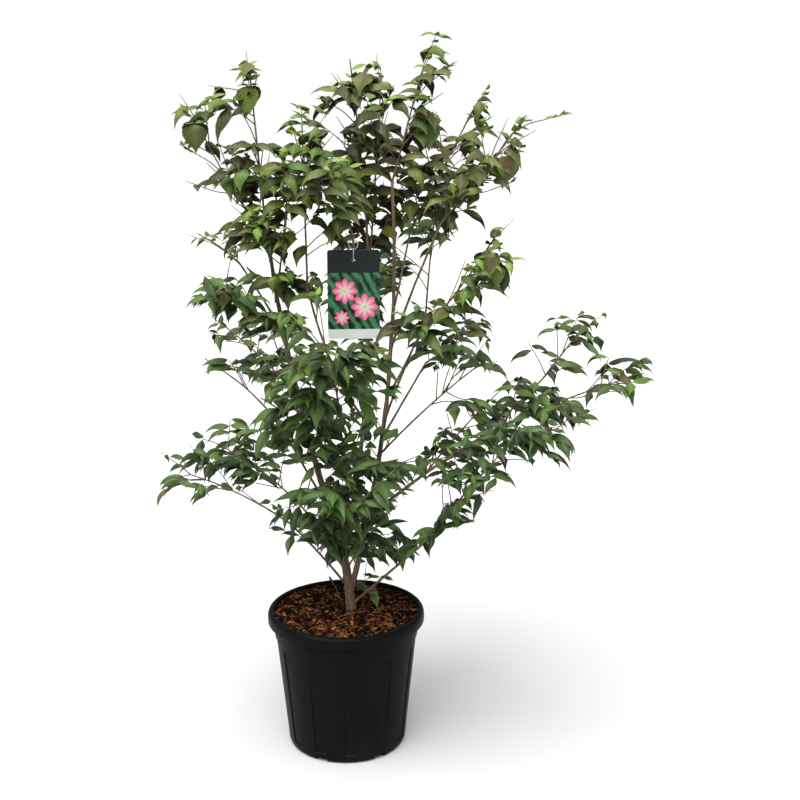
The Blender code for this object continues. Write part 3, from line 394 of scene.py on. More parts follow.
# Openings seen through the crown from the front: (x, z, radius) where the line of sight passes the
# plane of the trunk, written in millimetres and used in metres
OPENINGS = [[value / 1000 for value in row] for row in (
    (300, 772, 43), (-207, 649, 41), (135, 617, 39), (92, 1224, 36), (161, 856, 35), (-222, 964, 33),
    (459, 624, 31), (261, 972, 31), (-168, 633, 30), (-278, 997, 29), (-307, 1133, 29), (274, 436, 29),
    (317, 1002, 29), (329, 1039, 29), (222, 380, 29), (-45, 1178, 29), (-280, 932, 29), (-3, 1244, 29),
    (211, 1222, 29), (259, 393, 29), (-116, 1233, 29), (-166, 1239, 29), (-292, 1059, 28), (-265, 1031, 28),
    (181, 1141, 28), (265, 799, 28), (-345, 559, 28), (-353, 460, 27), (203, 1168, 27), (-80, 346, 27),
    (-97, 1208, 27), (-227, 888, 27), (-140, 372, 27), (-207, 432, 26), (276, 1138, 26), (186, 370, 25),
    (120, 443, 24), (-110, 1140, 24), (284, 464, 24), (109, 553, 24), (423, 566, 24), (399, 668, 24),
    (196, 893, 23), (-340, 506, 23), (362, 1095, 23), (286, 954, 23), (182, 665, 23), (148, 456, 22),
    (-262, 881, 22), (157, 654, 22), (-290, 563, 22), (-244, 777, 22), (-241, 728, 22), (526, 638, 22),
    (-196, 959, 22), (223, 932, 22), (275, 725, 22), (-268, 854, 21), (-221, 456, 21), (186, 1106, 21),
    (331, 697, 21), (327, 486, 21), (328, 1087, 21), (126, 830, 21), (228, 675, 21), (94, 1119, 20),
    (-198, 1093, 20), (134, 579, 20), (-148, 417, 20), (-138, 1101, 20), (304, 515, 20), (-300, 458, 20),
    (-295, 1096, 20), (458, 761, 20), (94, 1189, 19), (-233, 1028, 19), (296, 905, 19), (-243, 1154, 19),
    (95, 609, 19), (-53, 334, 19), (357, 512, 19), (218, 908, 19), (138, 325, 18), (-223, 1171, 18),
    (-115, 1178, 18), (315, 1132, 18), (-56, 925, 18), (-9, 1195, 18), (478, 728, 18), (-153, 885, 18),
    (0, 1120, 18), (-173, 1099, 18), (37, 1220, 18), (249, 1077, 18), (-248, 441, 18), (85, 557, 18),
    (101, 423, 17), (266, 1112, 17), (-319, 512, 17), (-95, 491, 17), (112, 900, 16), (183, 469, 16),
    (-72, 949, 16), (87, 813, 15), (-189, 787, 15), (396, 718, 15), (-17, 1108, 15), (-10, 1075, 15),
    (73, 634, 15), (369, 740, 15), (-88, 810, 15), (240, 434, 15), (-45, 773, 15), (-218, 1049, 15),
    (-97, 1124, 15), (-164, 471, 14), (-228, 563, 14), (-103, 1083, 14), (-177, 861, 14), (-196, 725, 14),
    (-175, 447, 14), (-274, 456, 14), (189, 606, 14), (352, 739, 13), (-71, 801, 13), (72, 1020, 13),
    (-128, 1054, 13), (-38, 895, 13), (-193, 993, 13), (-67, 871, 13), (-130, 471, 13), (-242, 499, 13),
    (193, 1052, 12), (-62, 447, 12), (69, 404, 12), (222, 740, 12), (76, 733, 12), (-124, 739, 12),
    (-176, 726, 12), (-270, 510, 11), (176, 535, 11), (-109, 880, 11), (49, 338, 11), (-73, 900, 11),
    (-81, 749, 11), (-136, 806, 11), (417, 702, 11), (144, 1167, 10), (-99, 521, 10), (-111, 460, 10),
)]

# Thin shoots from the soil beside the trunk: mass, (x, y) of the foot, heading, length and pairs of leaves
SUCKERS = (
    Sucker("leaves_low_back", (-0.005, 0.022), 162, 63, 0.049, 0),
    Sucker("leaves_low_back", (0.029, 0.004), 52, 82, 0.088, 3),
    Sucker("leaves_low_back", (0.038, 0.016), 20, 66, 0.060, 2),
)

# A leaf's underside is its face colour darkened as painted shade, plus these small amounts
UNDERSIDE = (0.004, 0.006, 0.003)  # added to a leaf's colour beneath

# Outline of a leaf: (share of its length, half its width there)
LEAF_OUTLINE = (
    (0.00, 0.030), (0.055, 0.040), (0.10, 0.46), (0.19, 0.82), (0.33, 1.00), (0.48, 0.95),
    (0.62, 0.74), (0.75, 0.43), (0.87, 0.17), (1.00, 0.0),
)


def linear(shade):
    return shade / 12.92 if shade <= 0.04045 else ((shade + 0.055) / 1.055) ** 2.4


def colour(name, description, red, green, blue):
    """A colour property given in screen shades of 0 to 255."""
    return FloatVectorProperty(
        name=name,
        description=description,
        subtype="COLOR",
        size=3,
        min=0.0,
        max=1.0,
        default=[linear(shade / 255) for shade in (red, green, blue)],
    )


def length(name, description, default):
    return FloatProperty(
        name=name, description=description, default=default, min=0.0, subtype="DISTANCE", unit="LENGTH"
    )


class DogwoodSizes(bpy.types.PropertyGroup):
    """Sizes and counts of the visible pieces"""

    panel_depth: length("Panel depth", "How deep the panels of the container are pressed in", 0.0018)
    leaf_width: FloatProperty(
        name="Leaf width", description="Width as a share of its length", default=0.50, min=0.1, max=1.0
    )
    leaf_scale: FloatProperty(
        name="Leaf size", description="Mean length of a leaf as a share of the mass's", default=0.88, min=0.1
    )
    leaf_thickness: length("Leaf thickness", "Thickness of a leaf at its rib", 0.0005)
    shoot_spacing: length("Shoot spacing", "Distance between two pairs on the stem of a mass", 0.036)
    twig_spacing: length("Twig spacing", "Distance between two pairs on a side twig", 0.021)
    bark_relief: length("Bark relief", "Height of the ridges on trunk and stems", 0.0005)
    chip_count: IntProperty(name="Chips", description="Bark chips on the soil", default=4200, min=0)
    fibre_count: IntProperty(name="Fibres", description="Coir fibres on the soil", default=620, min=0)
    card_bow: length("Card bow", "How far the label's card bows", 0.0012)


class DogwoodColours(bpy.types.PropertyGroup):
    """Colours of the visible pieces"""

    pot: colour("Container", "Black plastic of the container", 11, 12, 13)
    # Paler colour low on the container and in scuffs: dust and wear, with painted reflection low down
    pot_dust_and_reflection: colour("Dust", "Dust and scuffs on the container", 38, 37, 33)
    soil_dark: colour("Soil", "Moist mix between the chips", 4, 2, 1)
    chip_dark: colour("Dark chips", "Dark bark chips", 8, 4, 2)
    chip_red: colour("Red chips", "Reddish-brown bark chips", 76, 40, 22)
    chip_tan: colour("Tan chips", "Fresh tan chips", 176, 112, 62)
    fibre: colour("Fibres", "Pale coir fibres", 190, 146, 102)
    bark_grey: colour("Old bark", "Weathered bark of trunk and stems", 122, 104, 82)
    bark_brown: colour("Brown bark", "Streaks and young bark", 78, 58, 42)
    bark_red: colour("Shoot bark", "Reddish bark of this year's shoots", 126, 104, 82)
    bark_green: colour("Green shoot", "Green bark at the very tips", 118, 132, 66)
    leaf_dark: colour("Dark leaf", "Shaded leaves low in the crown", 71, 98, 45)
    leaf_mid: colour("Green leaf", "Leaves of the middle crown", 88, 115, 51)
    leaf_olive: colour("Olive leaf", "Leaves of the top", 98, 114, 44)
    leaf_bronze: colour("Bronze leaf", "Leaves of the top that have turned", 90, 77, 42)
    leaf_young: colour("Young leaf", "Small new leaves at the tips", 112, 140, 54)
    card_band: colour("Label band", "Dark band at the head of the label", 8, 20, 15)
    card_green: colour("Label green", "Foliage green behind the label's flowers", 70, 142, 98)
    card_pink: colour("Label pink", "Flowers on the label", 235, 92, 140)
    card_white: colour("Label white", "Blank strip and back of the label", 206, 206, 202)
    tie: colour("Ring", "Ring that holds the label", 186, 186, 178)


def node_operator(operation, reflected=False):
    """A method that adds a Math node of one operation."""

    def apply(self, *other):
        values = (*other, self) if reflected else (self, *other)
        return self.finish.maths(operation, *values)

    return apply


class Wire:
    """A shader socket. Python's operators on it add Math nodes."""

    def __init__(self, finish, socket):
        self.finish = finish
        self.socket = socket

    __add__ = __radd__ = node_operator("ADD")
    __mul__ = __rmul__ = node_operator("MULTIPLY")
    __sub__ = node_operator("SUBTRACT")
    __rsub__ = node_operator("SUBTRACT", reflected=True)
    __truediv__ = node_operator("DIVIDE")
    __pow__ = node_operator("POWER")
    __abs__ = node_operator("ABSOLUTE")


class Finish:
    """A Principled material, and the nodes that drive it."""

    def __init__(self, name, **constants):
        self.material = bpy.data.materials.new(name)
        self.material.use_nodes = True
        self.tree = self.material.node_tree
        self.shader = self.tree.nodes["Principled BSDF"]
        for socket, value in constants.items():
            self.shader.inputs[socket.replace("_", " ")].default_value = value

    def node(self, kind, settings=None, sockets=None, output=0):
        """Any node: its settings first, then the values or links of its sockets."""
        made = self.tree.nodes.new(f"ShaderNode{kind}")
        for name, value in (settings or {}).items():
            setattr(made, name, value)
        for key, value in (sockets or {}).items():
            self.feed(made.inputs[key], value)
        return Wire(self, made.outputs[output])

    def feed(self, socket, value):
        if isinstance(value, Wire):
            self.tree.links.new(value.socket, socket)
        elif hasattr(value, "__len__") and len(socket.default_value) == 4 and len(value) == 3:
            socket.default_value = (*value, 1.0)
        else:
            socket.default_value = value

    def maths(self, operation, *values, clamp=False):
        return self.node("Math", {"operation": operation, "use_clamp": clamp}, dict(enumerate(values)))

    def clamp(self, value):
        return self.maths("ADD", value, 0.0, clamp=True)

    def ramp(self, value, low, high):
        """0 below low, 1 above high, smooth between."""
        return self.node(
            "MapRange",
            {"interpolation_type": "SMOOTHSTEP"},
            {"Value": value, "From Min": low, "From Max": high},
        )

    def mix(self, factor, first, second):
        """From the first colour to the second as the factor goes from 0 to 1."""
        return self.node("Mix", {"data_type": "RGBA"}, {0: factor, 6: first, 7: second}, output=2)

    def darken(self, base, factor, shade):
        """Multiplies a colour by a grey shade where the factor is 1."""
        return self.node(
            "Mix",
            {"data_type": "RGBA", "blend_type": "MULTIPLY"},
            {0: factor, 6: base, 7: (shade, shade, shade)},
            output=2,
        )

    def coordinates(self, stretch=(1.0, 1.0, 1.0), attribute=None):
        """Object coordinates, or an attribute of the piece, stretched along each axis."""
        if attribute:
            source = self.node("Attribute", {"attribute_name": attribute}, output=1)
        else:
            source = self.node("TexCoord", output=3)
        return self.node("Mapping", sockets={"Vector": source, "Scale": stretch})

    def part(self, vector, axis):
        return self.node("SeparateXYZ", sockets={0: vector}, output="xyz".index(axis))

    def attribute(self, name):
        return self.node("Attribute", {"attribute_name": name}, output=2)

    def noise(self, vector, scale, detail=3.0):
        sockets = {"Vector": vector, "Scale": scale, "Detail": detail, "Roughness": 0.55}
        return self.node("TexNoise", sockets=sockets)

    def cells(self, vector, scale):
        return self.node("TexVoronoi", sockets={"Vector": vector, "Scale": scale})

    def set(self, **links):
        for socket, value in links.items():
            self.feed(self.shader.inputs[socket.replace("_", " ")], value)
        return self.material

    def bump(self, height, distance, strength):
        made = self.node("Bump", sockets={"Height": height, "Distance": distance, "Strength": strength})
        return self.set(Normal=made)


def pot_finish(colours):
    """Satin black plastic, with a fine grain, a paler tone low down that is partly dust and partly painted
    reflection, and a few scuffs.
    """
    finish = Finish("pot_satin", Specular_IOR_Level=0.05)
    place = finish.coordinates()
    upright = finish.coordinates((1.0, 1.0, 0.12))
    cloud = finish.noise(place, 14.0, 4.0)
    streak = finish.noise(upright, 160.0, 3.0)
    grain = finish.noise(place, 1500.0, 2.0)
    height = finish.part(finish.coordinates(), "z")
    # Paler towards the foot: dust together with a painted reflection
    low = 1 - finish.ramp(height, 0.0, 0.07)
    scuff = finish.ramp(streak, 0.64, 0.74) * finish.ramp(cloud, 0.46, 0.62)
    dust_and_reflection = finish.clamp(low * finish.ramp(cloud, 0.38, 0.68) * 0.34 + scuff * 0.22)
    finish.set(
        Base_Color=finish.mix(dust_and_reflection, colours.pot, colours.pot_dust_and_reflection),
        Roughness=0.36 + cloud * 0.12 + dust_and_reflection * 0.4 + grain * 0.04,
    )
    return finish.bump(grain * 0.5 + cloud * 2.0 + streak * 0.4, 0.0002, 0.5)


def soil_finish(colours):
    """Moist dark mix."""
    finish = Finish("soil_mix", Specular_IOR_Level=0.12)
    place = finish.coordinates()
    crumbs = finish.cells(place, 260.0)
    cloud = finish.noise(place, 60.0, 5.0)
    light = finish.ramp(cloud, 0.45, 0.75) * (1 - crumbs)
    finish.set(
        Base_Color=finish.mix(light * 0.7, colours.soil_dark, colours.chip_dark),
        Roughness=0.75 + cloud * 0.2,
    )
    return finish.bump(crumbs + cloud, 0.0015, 0.8)


def chip_finish(name, colours, light):
    """Bark chips and fibres, each with its own shade, grained along the piece."""
    finish = Finish(name, Specular_IOR_Level=0.06)
    own = finish.attribute("shade")
    grain = finish.noise(finish.coordinates((1.0, 3.0, 1.0)), 420.0, 4.0)
    wet = finish.noise(finish.coordinates(), 36.0, 2.0)
    blend = finish.clamp(own * 1.1 + grain * 0.3 - 0.36)
    base = finish.mix(finish.ramp(blend, 0.02, 0.50), colours.chip_dark, colours.chip_red)
    base = finish.mix(finish.ramp(blend, 0.40, 1.0), base, light)
    finish.set(
        Base_Color=finish.darken(base, finish.ramp(wet, 0.42, 0.62) * 0.5, 0.45),
        Roughness=0.62 + grain * 0.3,
    )
    return finish.bump(grain, 0.0006, 0.7)


def bark_finish(name, colours):
    """Bark on straightened coordinates: long streaks, paler lenticels, and shoots that redden."""
    finish = Finish(name, Specular_IOR_Level=0.35)
    along = finish.coordinates((1.0, 1.0, 0.10), "straight")
    around = finish.coordinates(attribute="straight")
    streak = finish.noise(along, 620.0, 4.0)
    patch = finish.noise(around, 70.0, 3.0)
    pores = finish.cells(finish.coordinates((0.5, 0.5, 1.3), "straight"), 330.0)
    age = finish.attribute("age")
    old = finish.mix(finish.ramp(streak, 0.36, 0.66), colours.bark_brown, colours.bark_grey)
    old = finish.darken(old, finish.ramp(patch, 0.50, 0.72) * 0.55, 0.48)
    young = finish.mix(finish.ramp(streak, 0.30, 0.75), colours.bark_brown, colours.bark_red)
    base = finish.mix(finish.ramp(age, 0.15, 0.80), old, young)
    base = finish.mix(finish.ramp(age, 0.90, 1.30), base, colours.bark_green)
    pore = (1 - finish.ramp(pores, 0.10, 0.22)) * 0.5
    base = finish.mix(pore, base, colours.bark_grey)
    finish.set(Base_Color=base, Roughness=0.58 + streak * 0.3)
    return finish.bump(streak * 1.2 + pore * 0.8 + patch * 0.5, 0.0005, 0.8)


def leaf_finish(name, base, rim, under, colours, veined):
    """A leaf with arching veins, its own tone that is partly random and partly painted shade deep in the
    crown, tinted edges, and an underside painted darker as shade.
    """
    finish = Finish(name, Specular_IOR_Level=0.34)
    blade = finish.node("UVMap", {"uv_map": "blade"})
    across, along = finish.part(blade, "x"), finish.part(blade, "y")
    own = finish.attribute("shade")
    side = finish.attribute("underside")
    reach = abs(across * 2 - 1)
    rib = 1 - finish.ramp(reach, 0.02, 0.085)
    wave = finish.maths("FRACT", along * 6.0 - (reach ** 0.85) * 1.9 + 4.0)
    vein = finish.ramp(abs(wave * 2 - 1), 0.80, 0.97) * finish.ramp(reach, 0.03, 0.12)
    mottle = finish.noise(finish.coordinates(), 90.0, 4.0)
    tint = finish.ramp(reach * 0.7 + along * 0.5 + mottle * 0.5, 0.55, 1.25)
    upper = finish.mix(tint, base, rim)
    # Darker for a low own shade: random tone, and painted shade deep in the crown
    upper = finish.darken(upper, (1 - own) * 0.95, 0.10)
    upper = finish.darken(upper, vein * 0.55 * veined, 0.62)
    upper = finish.mix(rib * 0.16, upper, colours.leaf_young)
    # The underside: the face colour darkened as painted shade
    lower = finish.darken(under, (vein * 0.4 + rib * 0.3) * veined, 0.72)
    lower = finish.darken(lower, (1 - own) * 0.9, 0.16)
    finish.set(
        Base_Color=finish.mix(side, upper, lower),
        Roughness=0.40 + mottle * 0.16 + side * 0.2,
    )
    return finish.bump((1 - vein) + (1 - rib) * 0.8 + mottle * 0.3, 0.0006 * veined, 0.7)


def card_finish(colours):
    """Printed card: dark band, soft green picture with round pink blossoms, blank strip, plain back."""
    finish = Finish("label_print", Specular_IOR_Level=0.25)
    sheet = finish.node("UVMap", {"uv_map": "print"})
    across, up = finish.part(sheet, "x"), finish.part(sheet, "y")
    stretched = finish.node("Mapping", sockets={"Vector": sheet, "Scale": (3.0, 5.0, 1.0)})
    soft = finish.noise(stretched, 2.2)
    blades = finish.node(
        "TexWave",
        {"wave_type": "BANDS", "bands_direction": "DIAGONAL"},
        {"Vector": sheet, "Scale": 3.2, "Distortion": 5.0, "Detail": 2.0, "Detail Scale": 1.2},
    )
    light = finish.ramp(blades * 0.3 + soft * 0.9, 0.40, 0.85)
    green = finish.mix(light, colours.card_band, colours.card_green)
    picture = finish.darken(green, finish.ramp(soft, 0.42, 0.66) * 0.7, 0.45)
    for centre_x, centre_y, size in BLOSSOMS:
        side = across - centre_x
        rise = (up - centre_y) * (CARD_SIZE.z / CARD_SIZE.x)
        spread = finish.maths("SQRT", side * side + rise * rise)
        angle = finish.maths("ARCTAN2", rise, side)
        wave = finish.maths("COSINE", angle * PETALS)
        inside = spread / ((wave * 0.13 + 0.87) * size)
        petal = 1 - finish.ramp(inside, 0.94, 1.0)
        shade = finish.mix(finish.ramp(inside, 0.15, 0.95), colours.card_white, colours.card_pink)
        groove = (1 - finish.ramp(wave, -0.98, -0.55)) * finish.ramp(inside, 0.2, 0.4)
        shade = finish.darken(shade, groove * 0.6, 0.55)
        picture = finish.mix(petal, picture, shade)
        picture = finish.mix(1 - finish.ramp(inside, 0.14, 0.20), picture, BLOSSOM_EYE)
    band = finish.mix(finish.ramp(soft, 0.35, 0.7) * 0.45, colours.card_band, BAND_SHEEN)
    front = finish.mix(finish.ramp(up, 0.742, 0.748), picture, band)
    front = finish.mix(finish.ramp(up, 0.108, 0.112), colours.card_white, front)
    back = finish.darken(colours.card_white, soft * 0.3, 0.85)
    return finish.set(
        Base_Color=finish.mix(finish.attribute("front"), back, front),
        Roughness=0.26 + soft * 0.14,
    )


def tie_finish(colours):
    """White plastic wire, a little soiled."""
    finish = Finish("tie_wire", Specular_IOR_Level=0.5)
    cloud = finish.noise(finish.coordinates(), 420.0, 3.0)
    return finish.set(
        Base_Color=finish.darken(colours.tie, finish.ramp(cloud, 0.4, 0.7) * 0.6, 0.72),
        Roughness=0.28 + cloud * 0.25,
    )


def floor_finish():
    """Plain pale floor with a barely visible tooth."""
    finish = Finish("studio_floor", Specular_IOR_Level=0.2)
    cloud = finish.noise(finish.coordinates(), 3.0, 2.0)
    return finish.set(
        Base_Color=finish.mix(cloud, (0.52, 0.52, 0.518), (0.54, 0.54, 0.538)),
        Roughness=0.7 + cloud * 0.1,
    )


def as_mesh(name, bm):
    mesh = bpy.data.meshes.new(name)
    bm.to_mesh(mesh)
    bm.free()
    return mesh


def shade_faces(mesh, shade):
    """Gives every face of the mesh the same shade."""
    layer = mesh.attributes.new("shade", "FLOAT", "FACE")
    layer.data.foreach_set("value", np.full(len(mesh.polygons), shade))
    return mesh


def new_object(name, bm, material, smooth_angle=None):
    """The bmesh as an object at the origin, smooth but for edges sharper than the angle."""
    mesh = as_mesh(name, bm)
    mesh.materials.append(material)
    if smooth_angle is not None:
        mesh.shade_smooth()
        mesh.set_sharp_from_angle(angle=math.radians(smooth_angle))
    made = bpy.data.objects.new(name, mesh)
    bpy.context.scene.collection.objects.link(made)
    return made


def fuse(name, meshes, material, smooth=True):
    """Many small meshes joined into one object."""
    made = [bpy.data.objects.new(name, mesh) for mesh in meshes]
    for piece in made:
        bpy.context.scene.collection.objects.link(piece)
    with bpy.context.temp_override(active_object=made[0], selected_editable_objects=made):
        bpy.ops.object.join()
    whole = made[0]
    whole.data.materials.clear()
    whole.data.materials.append(material)
    whole.data.polygons.foreach_set("use_smooth", [smooth] * len(whole.data.polygons))
    return whole


def girth(piece, share):
    """The radius at a share of a limb's or a twig's length."""
    return piece.foot + (piece.tip - piece.foot) * share


def cut(points, share):
    """The path as far as the share, in as many points."""
    last = len(points) - 1
    return [along(points, share * index / last)[0] for index in range(last + 1)]


def heading(azimuth, lift):
    azimuth, lift = math.radians(azimuth), math.radians(lift)
    return Vector((math.cos(lift) * math.cos(azimuth), math.cos(lift) * math.sin(azimuth), math.sin(lift)))


def bend_path(start, limb, piece):
    """Points along a limb whose heading goes evenly from one end of its bend to the other."""
    steps = max(2, round(limb.length / piece))
    points = [start.copy()]
    for step in range(steps):
        way = heading(limb.azimuth, limb.lift + limb.bend * ((step + 0.5) / steps - 0.5))
        points.append(points[-1] + way * (limb.length / steps))
    return points


def along(points, share):
    """The place and the heading at a share of a path's length."""
    place = min(max(share, 0.0), 1.0) * (len(points) - 1)
    piece = min(int(place), len(points) - 2)
    run = points[piece + 1] - points[piece]
    return points[piece] + run * (place - piece), run.normalized()


def root_path(limb, paths, piece=LIMB_STEP):
    """A limb's path from its parent's tip or middle line."""
    if limb.parent is None:
        return bend_path(TRUNK_SPOT, limb, piece)
    start, _ = along(paths[limb.parent], limb.share)
    return bend_path(start, limb, piece)


def across(way):
    """Two directions square to a heading: one level, one rising."""
    level = way.cross(UP)
    if level.length < 0.05:
        level = way.cross(Vector((0.0, 1.0, 0.0)))
    level.normalize()
    return level, level.cross(way).normalized()


def spoke(way, roll):
    """The direction square to a heading that is the roll in degrees above the level one."""
    level, rise = across(way)
    roll = math.radians(roll)
    return level * math.cos(roll) + rise * math.sin(roll)


def smooth_path(points, step):
    """The same path as a smooth curve, at even steps."""
    padded = [points[0] * 2 - points[1], *points, points[-1] * 2 - points[-2]]
    curve = []
    for before, first, second, after in zip(padded, padded[1:], padded[2:], padded[3:]):
        count = max(1, round((second - first).length / step))
        for part in range(count):
            u = part / count
            linear_part = first * 2 + (second - before) * u
            square_part = (before * 2 - first * 5 + second * 4 - after) * u**2
            cube_part = (first * 3 - before - second * 3 + after) * u**3
            curve.append((linear_part + square_part + cube_part) * 0.5)
    return [*curve, points[-1].copy()]


def tube(points, radii, sides, ages=(0.0, 1.0), relief=0.0):
    """A closed tube as a mesh, grown ring by ring, with its straightened coordinates and its age."""
    bm = bmesh.new()
    straight = bm.verts.layers.float_vector.new("straight")
    age = bm.verts.layers.float.new("age")
    ring = bmesh.ops.create_circle(bm, cap_ends=True, segments=sides, radius=radii[0])["verts"]
    bm.faces.ensure_lookup_table()
    bmesh.ops.reverse_faces(bm, faces=bm.faces)
    edges = list(bm.edges)
    way = (points[1] - points[0]).normalized()
    turn = UP.rotation_difference(way).to_matrix().to_4x4()
    bmesh.ops.transform(bm, matrix=Matrix.Translation(points[0]) @ turn, verts=ring)
    spokes = [(vert.co - points[0]) / radii[0] for vert in ring]
    plan = [(math.cos(math.tau * k / sides), math.sin(math.tau * k / sides)) for k in range(sides)]
    distance, last = 0.0, len(points) - 1
    for index, point in enumerate(points):
        if index:
            grown = bmesh.ops.extrude_edge_only(bm, edges=edges)["geom"]
            edges = [part for part in grown if isinstance(part, bmesh.types.BMEdge) and is_ring(part, grown)]
            ring = ring_order(ring, grown)
            step = point - points[index - 1]
            distance += step.length
            after = points[min(index + 1, last)]
            new_way = (after - points[index - 1]).normalized()
            twist = way.rotation_difference(new_way)
            spokes = [twist @ spoke for spoke in spokes]
            way = new_way
        for vert, spoke, (x, y) in zip(ring, spokes, plan):
            vert.co = point + spoke * radii[index]
            vert[straight] = (x * radii[index], y * radii[index], distance)
            vert[age] = ages[0] + (ages[1] - ages[0]) * index / last
    bmesh.ops.contextual_create(bm, geom=edges)
    bmesh.ops.recalc_face_normals(bm, faces=bm.faces)
    if relief:
        bm.normal_update()
        for vert in bm.verts:
            x, y, z = vert[straight]
            ridge = noise.noise(Vector((x * 420, y * 420, z * 55)))
            lump = noise.noise(Vector((x * 130, y * 130, z * 90)))
            vert.co += vert.normal * (ridge * 0.6 + lump * 0.7) * relief
    return as_mesh("tube", bm)


def is_ring(edge, grown):
    """Whether both ends of an edge are new."""
    return all(vert in grown for vert in edge.verts)


def ring_order(ring, grown):
    """The new ring's vertices in the order of the old ring's."""
    fresh = {part for part in grown if isinstance(part, bmesh.types.BMVert)}
    ordered = []
    for vert in ring:
        ordered.append(next(e.other_vert(vert) for e in vert.link_edges if e.other_vert(vert) in fresh))
    return ordered


def limb_mesh(limb, paths, step, sides, ages, relief):
    """One limb with a collar where it leaves its parent, swollen nodes and a slight wander."""
    rng = random.Random(f"bark of {limb.name}")
    raw = paths[limb.name]
    parent = next((other for other in LIMBS if other.name == limb.parent), None)
    points = smooth_path(raw, step)
    last = len(points) - 1
    reach = 0.0
    if parent:
        reach = girth(parent, limb.share)
        if limb.share == 1.0:
            _, way = along(paths[parent.name], 1.0)
            points.insert(0, points[0] - way * 0.008)
            last += 1
    phase = [rng.uniform(0, 10) for _ in range(3)]
    spacing = rng.uniform(*NODE_SPACING)
    radii, run = [], 0.0
    for index, point in enumerate(points):
        if index:
            run += (point - points[index - 1]).length
        share = index / last
        radius = girth(limb, share) * LIMB_GIRTH
        if parent and limb.share < 1.0:
            radius *= 1.0 + COLLAR_SWELL * math.exp(-max(0.0, run - reach) / (limb.foot * 2.2))
        elif parent:
            radius += max(0.0, reach - limb.foot) * math.exp(-((run / 0.022) ** 2))
        else:
            radius *= 0.96 + 0.12 * math.exp(-run / 0.008)
        offset = abs((run / spacing + 0.5) % 1.0 - 0.5) * spacing
        radius *= 1.0 + NODE_SWELL * math.exp(-((offset / NODE_LENGTH) ** 2))
        radii.append(radius)
    for index in range(1, last):
        wander = noise.noise_vector(Vector((index * step * 14 + phase[0], phase[1], phase[2])))
        points[index] = points[index] + wander * min(MOST_WANDER, radii[index] * 0.35)
    return tube(points, radii, sides, ages, relief)


def in_opening(points):
    """Whether any of the points would close one of the crown's openings."""
    for point in points:
        spread = SIGHT.y / (SIGHT.y - point.y)
        x = SIGHT.x + (point.x - SIGHT.x) * spread
        z = SIGHT.z + (point.z - SIGHT.z) * spread
        if any(math.hypot(x - middle, z - height) < radius for middle, height, radius in OPENINGS):
            return True
    return False


def leaf_sides(way):
    """The level direction across a leaf, and the way its face looks."""
    side = way.cross(UP)
    side = side.normalized() if side.length > 0.05 else Vector((1.0, 0.0, 0.0))
    return side, side.cross(way).normalized()


def leaf_shell(root, way, size, droop, width):
    """A coarse leaf of eight faces, for telling whether a leaf would touch something."""
    side, normal = leaf_sides(way)
    tip_way = Matrix.Rotation(-math.radians(droop), 3, side) @ way
    rib = root + way * (size * 0.26)
    shoulder = rib + tip_way * (size * 0.16)
    tip = rib + tip_way * (size * 0.74)
    half = size * width / 2
    drop = normal * (half * 0.32)
    rise = normal * 0.0006
    verts = [root, shoulder + side * half - drop, shoulder - side * half - drop, rib + rise, rib - rise, tip]
    faces = [(0, 1, 3), (0, 3, 2), (5, 3, 1), (5, 2, 3), (0, 4, 1), (0, 2, 4), (5, 1, 4), (5, 4, 2)]
    return verts, faces


class Room:
    """What stands already: limbs, container and label as solids, and leaves by place."""

    CELL = 0.07

    def __init__(self, solids, keep_out):
        self.solids = solids
        self.keep_out = keep_out
        self.leaves = defaultdict(list)

    def cell(self, point):
        return tuple(int(math.floor(value / self.CELL)) for value in point)

    def clear(self, shell, strict):
        """Whether a leaf touches no solid, no label and, where strict, no other leaf."""
        verts, faces = shell
        if any(self.keep_out(vert) for vert in verts):
            return False
        tree = BVHTree.FromPolygons(verts, faces)
        if any(tree.overlap(solid) for solid in self.solids):
            return False
        if strict:
            x, y, z = self.cell(verts[3])
            for dx, dy, dz in product((-1, 0, 1), repeat=3):
                if any(tree.overlap(other) for other in self.leaves[x + dx, y + dy, z + dz]):
                    return False
        return True

    def settle(self, shell):
        verts, faces = shell
        self.leaves[self.cell(verts[3])].append(BVHTree.FromPolygons(verts, faces))


